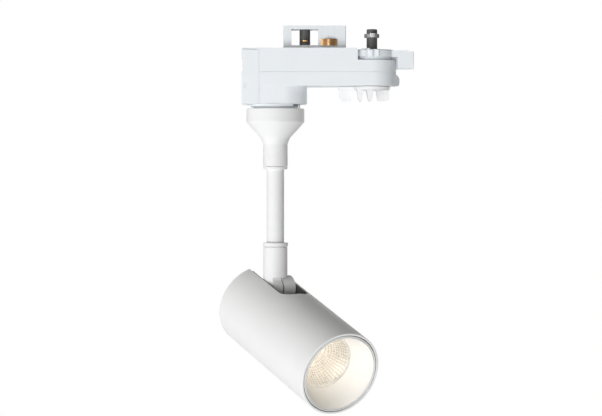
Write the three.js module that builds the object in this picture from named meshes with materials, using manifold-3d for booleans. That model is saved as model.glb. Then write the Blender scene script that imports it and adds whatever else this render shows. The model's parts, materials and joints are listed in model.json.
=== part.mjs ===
// A track spotlight: a three-circuit track adaptor with a lock lever and a circuit selector, a stem that
// turns under it, and a cylindrical lamp head that tilts in a half-lap knuckle.
// Millimetres, +Z up, +X along the track towards the lock lever. The origin is on the stem's turning axis,
// in the plane where the adaptor's top rests against the underside of the track.
import * as THREE from 'three';
import { mergeVertices } from 'three/addons/utils/BufferGeometryUtils.js';
import Module from 'manifold-3d';

const wasm = await Module();
wasm.setup();

// ---------------------------------------------------------------- driving dimensions

const adaptor = {
  left: -25, // outer face of the end cap
  split: -11.6, // joint between the end cap and the housings
  endCentre: 72.6, // centre of the round right-hand end
  halfWidth: 17.5,
  seam: -17.8, // joint between the upper and the lower housing
  shallowBottom: -28,
  deepBottom: -41.4,
  deepCentre: 6.2, // centre of the deep part's round end
  wall: 1.8,
  floor: 2.4, // thicker floor that carries the stem
};
const lever = {
  x: 72,
  discRadius: 16.5,
  discTop: -1,
  discBottom: -6.5,
  skirtRadius: 14.5, // the recessed lower part of the disc
  pocketRadius: 17.7,
  pocketLeft: 61.1,
  pocketFloor: -8.9,
  deck: 1.6,
  gripAngles: [-111.3, -92.1, -75.2], // degrees round the disc
  gripRadius: 1.4,
  paddleInner: 19.4, // radius of the paddle's inner face about the lever axis
  paddleFlat: 18.7, // the ends of that face are flat, to lie beside the housing when the lever is open
  paddleLength: 11.6,
  paddleHalfWidth: 8,
  paddleTop: -1.5,
  paddleBottom: -14.9,
};
const tower = { left: 6, right: 52.5, halfWidth: 7.5, height: 17, wall: 1.6 };
const rotor = { rearX: 22, radius: 4, top: 14.6, crankRadius: 6, crankTop: -11.2, crankBottom: -13.2 };
const selector = {
  x: 71.7,
  hubRadius: 4.5,
  hubTop: -25.6,
  dishRadius: 14.2,
  dishTop: -28.3,
  dishBottom: -31,
  finBottom: -39,
  camTop: -23,
};
const spacer = {
  radius: 18.5,
  collarBottom: -43.3,
  hubRadius: 16.5,
  notchLeft: 13.5, // the arc that the stop pin's track leaves open starts here
  pinX: 17.4,
  pinY: -6,
};
const stem = {
  cupRadius: 21.6,
  cupTop: -44.6,
  bandBottom: -54.1,
  neckRadius: 9,
  neckStart: -70.5,
  neckBottom: -87.6,
  collar: 2.1,
  tubeRadius: 6.5,
  tubeBore: 5.2,
  tubeTop: -75.7,
  tubeBottom: -158,
  lowerCollarTop: -144.4,
  lowerCollar: 3,
  sleeveBottom: -170.5,
  nippleRadius: 5,
  nippleBore: 3.2,
  nippleTop: -31,
  nippleBottom: -53,
  cableTop: -30,
  cableBottom: -166,
  cableRadius: 2,
};
const knuckle = {
  z: -178.5, // height of the tilt axis
  radius: 9,
  earRadius: 9.5,
  reliefRadius: 11.2, // hollow in the sleeve round the top of the ear
  tongueOuter: -6.2, // distances along the tilt axis from the stem axis
  tongueInner: 1.5,
  earInner: 2.4,
  earOuter: 12,
  boltHead: 4, // radii of the tilt bolt's head, shank and hole, and of the sink round its head
  bolt: 2.5,
  boltHole: 2.8,
  boltSink: 4.4,
  nutSink: 4.6,
};
const head = {
  pan: -58.6, // degrees, direction of the head about Z
  tilt: 20.6, // degrees below the horizontal
  sideShift: 1.6, // head axis beside the stem axis, along the tilt axis
  axisDrop: 23.3, // head axis below the tilt axis
  radius: 31.5,
  bore: 30,
  front: 103, // from the tilt axis to the front face
  rear: -24.6,
  bezelLength: 7,
  groove: 0.7, // the narrow ring-shaped gap between the tube's mouth and the bezel
  grooveDepth: 4,
  slotHalfWidth: 11.8,
  slotFront: 30,
  slotCorner: 9,
};
const optic = {
  baffleFront: 102.6,
  baffleRear: 82,
  baffleFrontRadius: 27.6,
  baffleRearRadius: 20.4,
  baffleWall: 0.8,
  reflectorRear: 58.5,
  reflectorRearRadius: 5.6,
  reflectorWall: 0.9,
};

const CLEAR = 0.3; // gap left between pieces that rest on or fit into each other
const SLIDE = 0.15; // gap round a shaft, tube or thread in its bore
const SEATED = 0.05; // gap under a piece that is screwed or clipped tight
const ROUND = { large: 40, medium: 28, small: 16, tiny: 10 }; // sides of a circle, by its size
const BEYOND = 5; // how far a cutting solid reaches past what it cuts

// ---------------------------------------------------------------- finishes

function finish(color, roughness, metalness) {
  return new THREE.MeshStandardMaterial({ color, roughness, metalness });
}

const whitePlastic = finish(0xe6eaed, 0.55, 0);
const clearPlastic = finish(0xe9e9ec, 0.35, 0);
const whitePaint = finish(0xefeff0, 0.45, 0.1);
const blackPlastic = finish(0x26272a, 0.6, 0);
const bareAluminium = finish(0xb9bcc0, 0.4, 0.9);
const platedSteel = finish(0xc3c5c8, 0.35, 1);
const copper = finish(0xc98b52, 0.35, 1);
const mirror = finish(0xe9e4d8, 0.15, 0.9);
const whiteOptic = finish(0xf7f5f0, 0.5, 0);
const phosphor = finish(0xffe9a8, 0.4, 0);
const board = finish(0x2d6a4a, 0.5, 0);
const cableGrey = finish(0xd9d9d9, 0.6, 0);

// ---------------------------------------------------------------- solids

// The signed volume of an indexed geometry, negative when its faces point inwards.
function signedVolume(positions, index) {
  const [a, b, c] = [new THREE.Vector3(), new THREE.Vector3(), new THREE.Vector3()];
  let sum = 0;
  for (let i = 0; i < index.length; i += 3) {
    a.fromArray(positions, 3 * index[i]);
    b.fromArray(positions, 3 * index[i + 1]);
    c.fromArray(positions, 3 * index[i + 2]);
    sum += a.dot(b.cross(c));
  }
  return sum / 6;
}

// Turns a closed geometry into a solid: shared vertices merged, collapsed faces dropped, faces outwards.
function solid(geometry) {
  const bare = geometry.clone();
  bare.deleteAttribute('normal');
  bare.deleteAttribute('uv');
  const merged = mergeVertices(bare, 1e-4);
  const positions = merged.attributes.position.array;
  const source = merged.index.array;
  const faces = [];
  for (let i = 0; i < source.length; i += 3) {
    const [a, b, c] = [source[i], source[i + 1], source[i + 2]];
    if (a !== b && b !== c && a !== c) {
      faces.push(a, b, c);
    }
  }
  if (signedVolume(positions, faces) < 0) {
    faces.reverse();
  }
  const mesh = new wasm.Mesh({
    numProp: 3,
    vertProperties: new Float32Array(positions),
    triVerts: new Uint32Array(faces),
  });
  return new wasm.Manifold(mesh);
}

function geometryOf(shape) {
  const mesh = shape.getMesh();
  const geometry = new THREE.BufferGeometry();
  geometry.setAttribute('position', new THREE.BufferAttribute(mesh.vertProperties, 3));
  geometry.setIndex(new THREE.BufferAttribute(mesh.triVerts, 1));
  geometry.computeVertexNormals();
  return geometry;
}

function joined(...shapes) {
  return shapes.reduce((whole, shape) => whole.add(shape));
}

function cut(shape, ...tools) {
  return tools.reduce((whole, tool) => whole.subtract(tool), shape);
}

function block([x0, x1], [y0, y1], [z0, z1]) {
  const box = new THREE.BoxGeometry(x1 - x0, y1 - y0, z1 - z0);
  box.translate((x0 + x1) / 2, (y0 + y1) / 2, (z0 + z1) / 2);
  return solid(box);
}

// A cylinder about the Z direction, through the point (x, y).
function rod(radius, [z0, z1], sides, x = 0, y = 0) {
  const cylinder = new THREE.CylinderGeometry(radius, radius, z1 - z0, sides);
  cylinder.rotateX(Math.PI / 2);
  cylinder.translate(x, y, (z0 + z1) / 2);
  return solid(cylinder);
}

// A cylinder about the X direction, through the point (y, z).
function axialRod(radius, [x0, x1], sides, y = 0, z = 0) {
  const cylinder = new THREE.CylinderGeometry(radius, radius, x1 - x0, sides);
  cylinder.rotateZ(Math.PI / 2);
  cylinder.translate((x0 + x1) / 2, y, z);
  return solid(cylinder);
}

// A cylinder about the Y direction, through the point (x, z).
function crossRod(radius, [y0, y1], sides, x = 0, z = 0) {
  const cylinder = new THREE.CylinderGeometry(radius, radius, y1 - y0, sides);
  cylinder.translate(x, (y0 + y1) / 2, z);
  return solid(cylinder);
}

function ring(outer, inner, heights, sides, x = 0, y = 0) {
  const [z0, z1] = heights;
  return cut(rod(outer, heights, sides, x, y), rod(inner, [z0 - BEYOND, z1 + BEYOND], sides, x, y));
}

// An outline in the XY plane, raised from z0 to z1.
function prism(outline, [z0, z1], curveSegments = ROUND.small) {
  const shape = new THREE.ExtrudeGeometry(outline, { depth: z1 - z0, bevelEnabled: false, curveSegments });
  shape.translate(0, 0, z0);
  return solid(shape);
}

// A profile of [radius, height] points turned about the Z axis.
function turned(profile, sides) {
  const points = profile.map(([radius, height]) => new THREE.Vector2(radius, height));
  const lathe = new THREE.LatheGeometry(points, sides);
  lathe.rotateX(Math.PI / 2);
  return solid(lathe);
}

// The same, turned about the X axis: the profile's heights run along X.
function turnedAlongX(profile, sides) {
  const points = profile.map(([radius, height]) => new THREE.Vector2(radius, height));
  const lathe = new THREE.LatheGeometry(points, sides);
  lathe.rotateZ(-Math.PI / 2);
  return solid(lathe);
}

// A rectangle from xLeft, closed on the right by a half circle about xCentre.
function roundEndedOutline(xLeft, xCentre, halfWidth) {
  const outline = new THREE.Shape();
  outline.moveTo(xLeft, -halfWidth);
  outline.lineTo(xCentre, -halfWidth);
  outline.absarc(xCentre, 0, halfWidth, -Math.PI / 2, Math.PI / 2, false);
  outline.lineTo(xLeft, halfWidth);
  outline.closePath();
  return outline;
}

// A bar with round ends between two points on a line along X.
function roundBarOutline(x0, x1, y, radius) {
  const outline = new THREE.Shape();
  outline.absarc(x0, y, radius, Math.PI / 2, (3 * Math.PI) / 2, false);
  outline.absarc(x1, y, radius, -Math.PI / 2, Math.PI / 2, false);
  outline.closePath();
  return outline;
}

function degrees(angle) {
  return (angle * Math.PI) / 180;
}

const spotlight = new THREE.Group();

function place(group, name, shape, material) {
  const mesh = new THREE.Mesh(geometryOf(shape), material);
  mesh.name = name;
  group.add(mesh);
  return mesh;
}

// ---------------------------------------------------------------- adaptor housings

const screwPlaces = [
  [-6.5, -12.2],
  [-6.5, 12.2],
  [45, -12.2],
  [45, 12.2],
];
const screw = { headRadius: 2.5, headTop: -24.1, headHeight: 1.8, shankRadius: 1.25, tip: -10 };
const post = { radius: 3, bossRadius: 4, pilotRadius: 1.45, counterbore: 2.9 };

function upperHousing() {
  const { split, endCentre, halfWidth, wall, seam } = adaptor;
  const left = split + CLEAR / 2;
  const bottom = seam + CLEAR / 2;
  const deckUnder = lever.pocketFloor - lever.deck;
  const shell = prism(roundEndedOutline(left, endCentre, halfWidth), [bottom, 0]);
  const pocket = joined(
    rod(lever.pocketRadius, [lever.pocketFloor, BEYOND], ROUND.large, lever.x),
    block([lever.pocketLeft, lever.x + 30], [-20, 20], [lever.pocketFloor, BEYOND]),
  );
  const lowRoom = prism(
    roundEndedOutline(left + wall, endCentre, halfWidth - wall),
    [bottom - BEYOND, deckUnder],
  );
  const highRoom = cut(
    block([left + wall, lever.pocketLeft - wall], [wall - halfWidth, halfWidth - wall], [deckUnder - 1, -2]),
    rod(lever.pocketRadius + wall, [deckUnder - BEYOND, 0], ROUND.large, lever.x),
  );
  const towerHole = block(
    [tower.left - CLEAR, tower.right + CLEAR],
    [-tower.halfWidth - CLEAR, tower.halfWidth + CLEAR],
    [-BEYOND, BEYOND],
  );
  const columnHole = rod(rotor.radius + CLEAR, [deckUnder - BEYOND, 0], ROUND.small, lever.x);
  const posts = screwPlaces.map(([x, y]) => rod(post.radius, [bottom, -1], ROUND.small, x, y));
  const pilots = screwPlaces.map(([x, y]) =>
    rod(post.pilotRadius, [bottom - BEYOND, screw.tip + 1], ROUND.tiny, x, y),
  );
  const hollow = cut(shell, pocket, lowRoom, highRoom);
  return cut(joined(hollow, ...posts), towerHole, columnHole, ...pilots);
}

function lowerHousing() {
  const { split, endCentre, halfWidth, wall, seam, floor } = adaptor;
  const { shallowBottom, deepBottom, deepCentre } = adaptor;
  const left = split + CLEAR / 2;
  const top = seam - CLEAR / 2;
  const outer = joined(
    prism(roundEndedOutline(left, endCentre, halfWidth), [shallowBottom, top]),
    prism(roundEndedOutline(left, deepCentre, halfWidth), [deepBottom, top - 1]),
  );
  const shallowRoom = prism(
    roundEndedOutline(left + wall, endCentre, halfWidth - wall),
    [shallowBottom + wall, top + BEYOND],
  );
  const deepRoom = prism(
    roundEndedOutline(left + wall, deepCentre, halfWidth - wall),
    [deepBottom + floor, top],
  );
  const bosses = screwPlaces.map(([x, y], i) => {
    const bottom = i < 2 ? deepBottom : shallowBottom;
    return rod(post.bossRadius, [bottom + 1, top], ROUND.small, x, y);
  });
  const screwHoles = screwPlaces.flatMap(([x, y]) => [
    rod(post.counterbore, [deepBottom - BEYOND, screw.headTop], ROUND.small, x, y),
    rod(post.pilotRadius, [deepBottom, top + BEYOND], ROUND.tiny, x, y),
  ]);
  const stemHole = rod(stem.nippleRadius + CLEAR, [deepBottom - BEYOND, deepBottom + BEYOND], ROUND.small);
  const throughFloor = [shallowBottom - BEYOND, shallowBottom + BEYOND];
  const knobHole = rod(selector.hubRadius + 0.4, throughFloor, ROUND.small, selector.x);
  const hollow = cut(outer, shallowRoom, deepRoom);
  return cut(joined(hollow, ...bosses), ...screwHoles, stemHole, knobHole);
}

function endCap() {
  const { left, split, halfWidth, deepBottom, wall } = adaptor;
  const right = split - CLEAR / 2;
  const recess = { right: left + 0.7, bottom: -17, top: -7 }; // to grip the cap by, across its end
  return cut(
    block([left, right], [-halfWidth, halfWidth], [deepBottom, 0]),
    block([left + wall, right + BEYOND], [wall - halfWidth, halfWidth - wall], [deepBottom + wall, -wall]),
    block([left - BEYOND, recess.right], [-halfWidth - 1, halfWidth + 1], [recess.bottom, recess.top]),
  );
}

// A springy catch, bent round the lever end, that clips the two housings together.
function endCatch() {
  const { endCentre, halfWidth } = adaptor;
  const inner = halfWidth + CLEAR;
  const [bottom, top] = [-27.8, -19.6];
  const wholeRing = turned(
    [
      [inner, bottom],
      [inner + 1.4, bottom],
      [inner + 2.2, bottom + 0.7],
      [inner + 2.5, bottom + 2.2],
      [inner + 2.4, top - 2.8],
      [inner + 0.5, top],
      [inner, top],
      [inner, bottom],
    ],
    ROUND.large,
  ).translate(endCentre, 0, 0);
  const onCircle = (radius, angle) =>
    new THREE.Vector2(endCentre + radius * Math.cos(degrees(angle)), radius * Math.sin(degrees(angle)));
  const tapered = new THREE.Shape([
    onCircle(inner - 5, -35),
    onCircle(inner, -35),
    onCircle(inner + 2.5, -8),
    onCircle(inner + 2.5, 8),
    onCircle(inner, 35),
    onCircle(inner - 5, 35),
  ]);
  return wholeRing.intersect(prism(tapered, [bottom - 1, top + 1]));
}

function housingScrew([x, y]) {
  const { headRadius, headTop, headHeight, shankRadius, tip } = screw;
  return joined(
    rod(headRadius, [headTop - headHeight, headTop - SEATED], ROUND.tiny, x, y),
    rod(shankRadius, [headTop - 1, tip], ROUND.tiny, x, y),
  );
}

// ---------------------------------------------------------------- contacts in the track

function contactTower() {
  const { left, right, halfWidth, height, wall } = tower;
  const roof = 2; // thickness of the housing's top over the flange
  const flangeTop = -roof - CLEAR;
  const flangeBottom = flangeTop - wall;
  const body = joined(
    block([left, right], [-halfWidth, halfWidth], [flangeBottom, height]),
    block([left - 3, right], [-halfWidth - 1.2, halfWidth + 1.2], [flangeBottom, flangeTop]),
  );
  const room = block(
    [left + wall, right - wall],
    [wall - halfWidth, halfWidth - wall],
    [flangeBottom - BEYOND, height - wall],
  );
  const reach = 10; // the contacts swing through the window
  const window = block([rotor.rearX - reach, rotor.rearX + reach], [-20, 20], [2.4, height - wall - 1.2]);
  return cut(body, room, window);
}

// A bowed leaf that rubs on the metal body of the track; side is 1 or -1.
function earthContact(side) {
  const [start, end, root, bow, thickness] = [34, 46, tower.halfWidth + CLEAR, 2.6, 0.5];
  const middle = (start + end) / 2;
  const outline = new THREE.Shape();
  outline.moveTo(start, root);
  outline.quadraticCurveTo(middle, root + 2 * bow, end, root);
  outline.lineTo(end, root + thickness);
  outline.quadraticCurveTo(middle, root + 2 * bow + thickness, start, root + thickness);
  outline.closePath();
  const leaf = new THREE.ExtrudeGeometry(outline, { depth: 5, bevelEnabled: false, curveSegments: 10 });
  leaf.translate(0, 0, 2);
  leaf.scale(1, side, 1);
  return solid(leaf);
}

// Where a crank's pin stands: a quarter turn carries it across the front and never lines it up with the link.
function crankPin(x) {
  const reach = rotor.crankRadius / Math.SQRT2;
  return { x: x + reach, y: -reach };
}

function crank(x) {
  const { radius, crankRadius, crankTop, crankBottom } = rotor;
  const pin = crankPin(x);
  const heights = [crankBottom, crankTop];
  const halfWidth = 2.2;
  const arm = new THREE.BoxGeometry(crankRadius, 2 * halfWidth, crankTop - crankBottom);
  arm.translate(crankRadius / 2, 0, (crankBottom + crankTop) / 2);
  arm.rotateZ(-Math.PI / 4);
  arm.translate(x, 0, 0);
  return joined(
    rod(radius, heights, ROUND.small, x),
    solid(arm),
    rod(halfWidth, heights, ROUND.small, pin.x, pin.y),
    rod(1.25, [crankBottom - 3, crankBottom + 0.5], ROUND.tiny, pin.x, pin.y),
  );
}

// The column that the lever turns: through the deck, up into the track.
function lockRotor() {
  const { radius, top, crankTop } = rotor;
  return joined(
    rod(radius, [crankTop + 0.1, top], ROUND.small, lever.x),
    rod(radius + 1.6, [lever.pocketFloor + CLEAR, lever.discBottom - CLEAR], ROUND.small, lever.x),
  );
}

function lockingLug() {
  const heights = [8, 11];
  const [halfWidth, halfLength] = [2.6, 11.5];
  const bar = block([lever.x - halfWidth, lever.x + halfWidth], [-halfLength, halfLength], heights);
  const hub = rod(rotor.radius + 1.8, heights, ROUND.small, lever.x);
  return cut(joined(bar, hub), rod(rotor.radius + SLIDE, [0, 20], ROUND.small, lever.x));
}

function rearRotor() {
  const { rearX, radius, top, crankTop } = rotor;
  const column = rod(radius, [crankTop + 0.1, top], ROUND.small, rearX);
  const guideFlat = block([rearX - 10, rearX + 10], [1.2, 10], [1.8, top + 1]);
  const bladeSlot = block([rearX - 2.3, rearX + 2.3], [-10, -1.6], [4.6, 6.4]);
  return cut(column, guideFlat, bladeSlot);
}

function neutralContact() {
  return block([rotor.rearX - 2, rotor.rearX + 2], [-11, -1.9], [4.9, 6.1]);
}

const phaseBottom = 2.9; // underside of the phase carrier with the selector at its first position

function phaseCarrier() {
  const { rearX } = rotor;
  const carrier = block([rearX - 2.8, rearX + 2.8], [1.5, 5.2], [phaseBottom, phaseBottom + 3.2]);
  const slot = block([rearX - 2.3, rearX + 2.3], [2.8, 10], [phaseBottom + 0.7, phaseBottom + 2.5]);
  return cut(carrier, slot);
}

function phaseContact() {
  const { rearX } = rotor;
  return block([rearX - 2, rearX + 2], [3.1, 11], [phaseBottom + 1, phaseBottom + 2.2]);
}

// The bar that makes the rear rotor turn with the lever.
function linkBar() {
  const [from, to] = [crankPin(rotor.rearX), crankPin(lever.x)];
  const heights = [rotor.crankBottom - 2.7, rotor.crankBottom - 0.7];
  const hole = (pin) => rod(1.6, [heights[0] - BEYOND, heights[1] + BEYOND], ROUND.tiny, pin.x, pin.y);
  return cut(prism(roundBarOutline(from.x, to.x, from.y, 2.6), heights, 8), hole(from), hole(to));
}

function terminalBlock() {
  const [left, right] = [26, 40];
  const bodyShape = block([left, right], [-9, 9], [-25.8, -18.6]);
  const wireHoles = [-6, 0, 6].map((y) => axialRod(1.4, [right - 6, right + BEYOND], ROUND.tiny, y, -22));
  return cut(bodyShape, ...wireHoles);
}

// ---------------------------------------------------------------- lever and selector

function lockLever() {
  const { x, discRadius, discTop, discBottom, paddleInner, paddleLength, paddleHalfWidth } = lever;
  const disc = rod(discRadius, [discBottom, discTop], ROUND.large, x);
  const skirt = rod(lever.skirtRadius, [lever.pocketFloor + CLEAR, discBottom + 0.1], ROUND.large, x);
  const grips = lever.gripAngles.map(degrees).map((angle) => {
    const reach = discRadius - 0.6;
    const [gripX, gripY] = [x + reach * Math.cos(angle), reach * Math.sin(angle)];
    return rod(lever.gripRadius, [discBottom, discTop], ROUND.tiny, gripX, gripY);
  });
  const indicator = block([x - 8.3, x - 1.7], [-14, -9], [discTop - 1, -0.1]);
  const neck = block(
    [x + discRadius - 4, x + paddleInner + 2],
    [-paddleHalfWidth, paddleHalfWidth],
    [discBottom, lever.paddleTop],
  );
  const rib = block([x + 12, x + paddleInner + 1], [-1, 1], [lever.pocketFloor + CLEAR, discBottom + 0.1]);
  const paddleEnd = x + paddleInner + paddleLength;
  const paddle = cut(
    block(
      [x + lever.paddleFlat, paddleEnd],
      [-paddleHalfWidth, paddleHalfWidth],
      [lever.paddleBottom, lever.paddleTop],
    ),
    rod(paddleInner, [lever.paddleBottom - BEYOND, lever.paddleTop + BEYOND], ROUND.large, x),
    block([paddleEnd - 4, paddleEnd + BEYOND], [-20, 20], [lever.paddleTop - 0.8, BEYOND]),
  );
  const bore = rod(rotor.radius + SLIDE, [-20, 20], ROUND.small, x);
  const collarRoom = rod(rotor.radius + 1.6 + CLEAR, [-20, discBottom], ROUND.small, x);
  return cut(joined(disc, skirt, ...grips, indicator, neck, rib, paddle), bore, collarRoom);
}

function selectorKnob() {
  const { x, dishRadius, dishTop, dishBottom, finBottom } = selector;
  const dish = rod(dishRadius, [dishBottom, dishTop], ROUND.medium, x);
  const hub = rod(selector.hubRadius, [dishBottom, selector.hubTop], ROUND.small, x);
  const [pointerTip, pointerRoot] = [47, 58.8];
  const pointerArm = block([pointerTip, x], [-1.8, 1.8], [dishBottom, dishTop]);
  const pointer = block([pointerTip, pointerRoot], [-1.4, 1.4], [finBottom, dishTop]);
  const fins = [
    { left: 60.5, right: 65.3, halfLength: 9 },
    { left: 67.4, right: 72.5, halfLength: 12 },
    { left: 74.5, right: 85.5, halfLength: 1.4 },
  ].map(({ left, right, halfLength }) =>
    block([left, right], [-halfLength, halfLength], [finBottom, dishTop - 1]),
  );
  return joined(dish, hub, pointerArm, pointer, ...fins);
}

function selectorCam() {
  const { x, hubTop, camTop } = selector;
  return joined(
    rod(9, [hubTop + CLEAR, camTop], ROUND.medium, x),
    rod(3, [camTop - 1, camTop + 3.5], ROUND.small, x),
  );
}

// ---------------------------------------------------------------- pan joint

// A collar under the housing on a narrower hub; the collar is open in front of the stop pin.
function panSpacer() {
  const { radius, collarBottom, hubRadius, notchLeft } = spacer;
  const bore = stem.nippleRadius + CLEAR;
  const top = adaptor.deepBottom - SEATED;
  const collar = ring(radius, bore, [collarBottom, top], ROUND.medium);
  const hub = ring(hubRadius, bore, [stem.cupTop - 0.4, collarBottom + 0.1], ROUND.medium);
  const notch = block([notchLeft, radius + BEYOND], [-radius, 0], [collarBottom - BEYOND, top + BEYOND]);
  return joined(cut(collar, notch), hub);
}

function panWasher() {
  const floorTop = adaptor.deepBottom + adaptor.floor;
  return ring(9, stem.nippleRadius + CLEAR, [floorTop + 0.1, floorTop + 0.9], ROUND.small);
}

function panStopPin() {
  return rod(0.8, [-44.2, adaptor.deepBottom - SEATED], ROUND.tiny, spacer.pinX, spacer.pinY);
}

// The nuts on the nipple: one holds it in the adaptor's floor, one holds the cup on it.
const nut = { acrossFlats: 14, suspension: [-37.9, -33], canopy: [-52, -48.4] };

function hexNut([z0, z1]) {
  const corner = nut.acrossFlats / Math.sqrt(3);
  const bore = stem.nippleRadius + SLIDE;
  return cut(rod(corner, [z0, z1], 6), rod(bore, [z0 - 1, z1 + 1], ROUND.small));
}

function threadedNipple() {
  return ring(stem.nippleRadius, stem.nippleBore, [stem.nippleBottom, stem.nippleTop], ROUND.small);
}

// ---------------------------------------------------------------- stem

function canopyCup() {
  const { cupRadius, cupTop, bandBottom, neckRadius, neckStart, neckBottom, nippleRadius } = stem;
  const { tubeRadius, tubeTop } = stem;
  const wall = 1.8;
  const bore = nippleRadius + SLIDE;
  const socket = tubeRadius + SLIDE;
  const webTop = cupTop - 0.8;
  const fillet = 4;
  return turned(
    [
      [bore, webTop],
      [cupRadius - wall, webTop],
      [cupRadius - wall, cupTop],
      [cupRadius - 0.5, cupTop],
      [cupRadius, cupTop - 0.5],
      [cupRadius, bandBottom],
      [cupRadius - 0.6, bandBottom - 0.8],
      [neckRadius + 1.9, neckStart + fillet],
      [neckRadius + 0.5, neckStart + 1.8],
      [neckRadius, neckStart],
      [neckRadius, neckBottom],
      [socket, neckBottom],
      [socket, tubeTop + 0.2],
      [bore, tubeTop + 0.2],
      [bore, neckStart + 4],
      [cupRadius - 2 * wall, bandBottom + 1],
      [cupRadius - 2 * wall, webTop - 2.6],
      [bore, webTop - 2.6],
      [bore, webTop],
    ],
    ROUND.large,
  );
}

function collarRing(radius, top, height) {
  return ring(radius, stem.tubeRadius + SLIDE, [top - height, top - 0.1], ROUND.medium);
}

function stemTube() {
  return ring(stem.tubeRadius, stem.tubeBore, [stem.tubeBottom, stem.tubeTop], ROUND.medium);
}

// The lower sleeve with the disc-shaped tongue under it, drawn with the tilt axis along Y and turned to the
// head's direction later.
function lowerSleeve() {
  const { neckRadius, sleeveBottom, lowerCollarTop, lowerCollar, tubeRadius } = stem;
  const { z, radius, tongueOuter, tongueInner } = knuckle;
  const top = lowerCollarTop - lowerCollar - 0.3;
  const column = rod(neckRadius, [sleeveBottom, top], ROUND.large);
  const tongue = crossRod(radius, [tongueOuter, tongueInner], ROUND.large, 0, z);
  const root = Math.sqrt(neckRadius ** 2 - tongueOuter ** 2) - 0.1;
  const web = block([-root, root], [tongueOuter, tongueInner], [z, sleeveBottom + 1]);
  const relief = crossRod(knuckle.reliefRadius, [tongueInner, 30], ROUND.large, 0, z);
  const socket = rod(tubeRadius + SLIDE, [stem.tubeBottom - CLEAR, top + BEYOND], ROUND.medium);
  const cableWay = rod(stem.cableRadius + 1, [stem.cableBottom - 1, top], ROUND.small);
  const boltHole = crossRod(knuckle.boltHole, [-30, 30], ROUND.small, 0, z);
  const boltSink = crossRod(knuckle.boltSink, [-30, tongueOuter + 3], ROUND.small, 0, z);
  return cut(joined(column, tongue, web), relief, socket, cableWay, boltHole, boltSink);
}

// A grub screw that clamps the tube, in the back of a sleeve, with the hole that it needs.
const grub = { radius: 1.6, upperZ: -80.5, lowerZ: -153 };

function grubScrew(z) {
  return crossRod(grub.radius, [stem.tubeRadius + 0.2, stem.neckRadius - 0.4], ROUND.tiny, 0, z);
}

function grubHole(z) {
  return crossRod(grub.radius + SLIDE, [stem.tubeRadius, stem.neckRadius + BEYOND], ROUND.tiny, 0, z);
}

function tiltBolt() {
  const outer = knuckle.tongueOuter;
  const headShape = crossRod(knuckle.boltHead, [outer + 0.3, outer + 2.8], ROUND.small, 0, knuckle.z);
  const shank = crossRod(knuckle.bolt, [outer + 2.5, knuckle.earOuter - 0.4], ROUND.small, 0, knuckle.z);
  const key = new THREE.CylinderGeometry(1.7, 1.7, 3, 6);
  key.translate(0, outer + 0.3, knuckle.z);
  return cut(joined(headShape, shank), solid(key));
}

function tiltNut() {
  const geometry = new THREE.CylinderGeometry(4, 4, 2.4, 6);
  geometry.translate(0, knuckle.earOuter - 1.7, knuckle.z);
  return cut(solid(geometry), crossRod(knuckle.bolt + SLIDE, [0, 20], ROUND.small, 0, knuckle.z));
}

// The friction disc between the tongue and the ear.
function tiltWasher() {
  const faces = [knuckle.tongueInner + SLIDE, knuckle.earInner - SLIDE];
  return cut(
    crossRod(knuckle.radius - 0.5, faces, ROUND.medium, 0, knuckle.z),
    crossRod(knuckle.boltHole, [-20, 20], ROUND.small, 0, knuckle.z),
  );
}

// ---------------------------------------------------------------- head
// Drawn about the head's own axis: X forwards from the tilt axis, Y along the tilt axis, Z up from the
// head axis.

// The slot seen from above, drawn smaller by an inset, from a back end that is cut off square.
function slotOutline(back, inset) {
  const { slotFront, slotHalfWidth, slotCorner } = head;
  const half = slotHalfWidth - inset;
  const corner = slotCorner - inset;
  const start = slotFront - slotCorner;
  const outline = new THREE.Shape();
  outline.moveTo(back, -half);
  outline.lineTo(start, -half);
  outline.absarc(start, corner - half, corner, -Math.PI / 2, 0, false);
  outline.absarc(start, half - corner, corner, 0, Math.PI / 2, false);
  outline.lineTo(back, half);
  outline.closePath();
  return outline;
}

function headTube() {
  const { radius, bore, front, rear } = head;
  const shell = cut(axialRod(radius, [rear, front], ROUND.large), axialRod(bore, [-60, 120], ROUND.large));
  const slot = prism(slotOutline(rear - BEYOND, 0), [12, radius + BEYOND], 6);
  return cut(shell, slot);
}

// A ring in the tube's mouth, set off from it by the groove; its thicker rear end fits the bore.
function frontBezel() {
  const { bore, front, bezelLength, groove, grooveDepth } = head;
  const [outer, inner] = [bore - groove, optic.baffleFrontRadius + 0.9];
  const [lip, step, back] = [front - 0.1, front - grooveDepth, front - bezelLength];
  return turnedAlongX(
    [
      [inner, back],
      [bore - CLEAR, back],
      [bore - CLEAR, step],
      [outer, step],
      [outer, lip - 0.2],
      [outer - 0.2, lip],
      [inner + 0.2, lip],
      [inner, lip - 0.2],
      [inner, back],
    ],
    ROUND.large,
  );
}

function baffle() {
  const { baffleFront, baffleRear, baffleFrontRadius, baffleRearRadius, baffleWall } = optic;
  const lip = 0.6;
  return turnedAlongX(
    [
      [baffleFrontRadius, baffleFront],
      [baffleFrontRadius + lip, baffleFront],
      [baffleFrontRadius + lip, baffleFront - 0.8],
      [baffleFrontRadius + 0.3, baffleFront - 1.2],
      [baffleRearRadius + baffleWall, baffleRear + 1.4],
      [24.5, baffleRear + 1.4],
      [24.5, baffleRear],
      [baffleRearRadius, baffleRear],
      [baffleFrontRadius, baffleFront],
    ],
    ROUND.large,
  );
}

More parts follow.
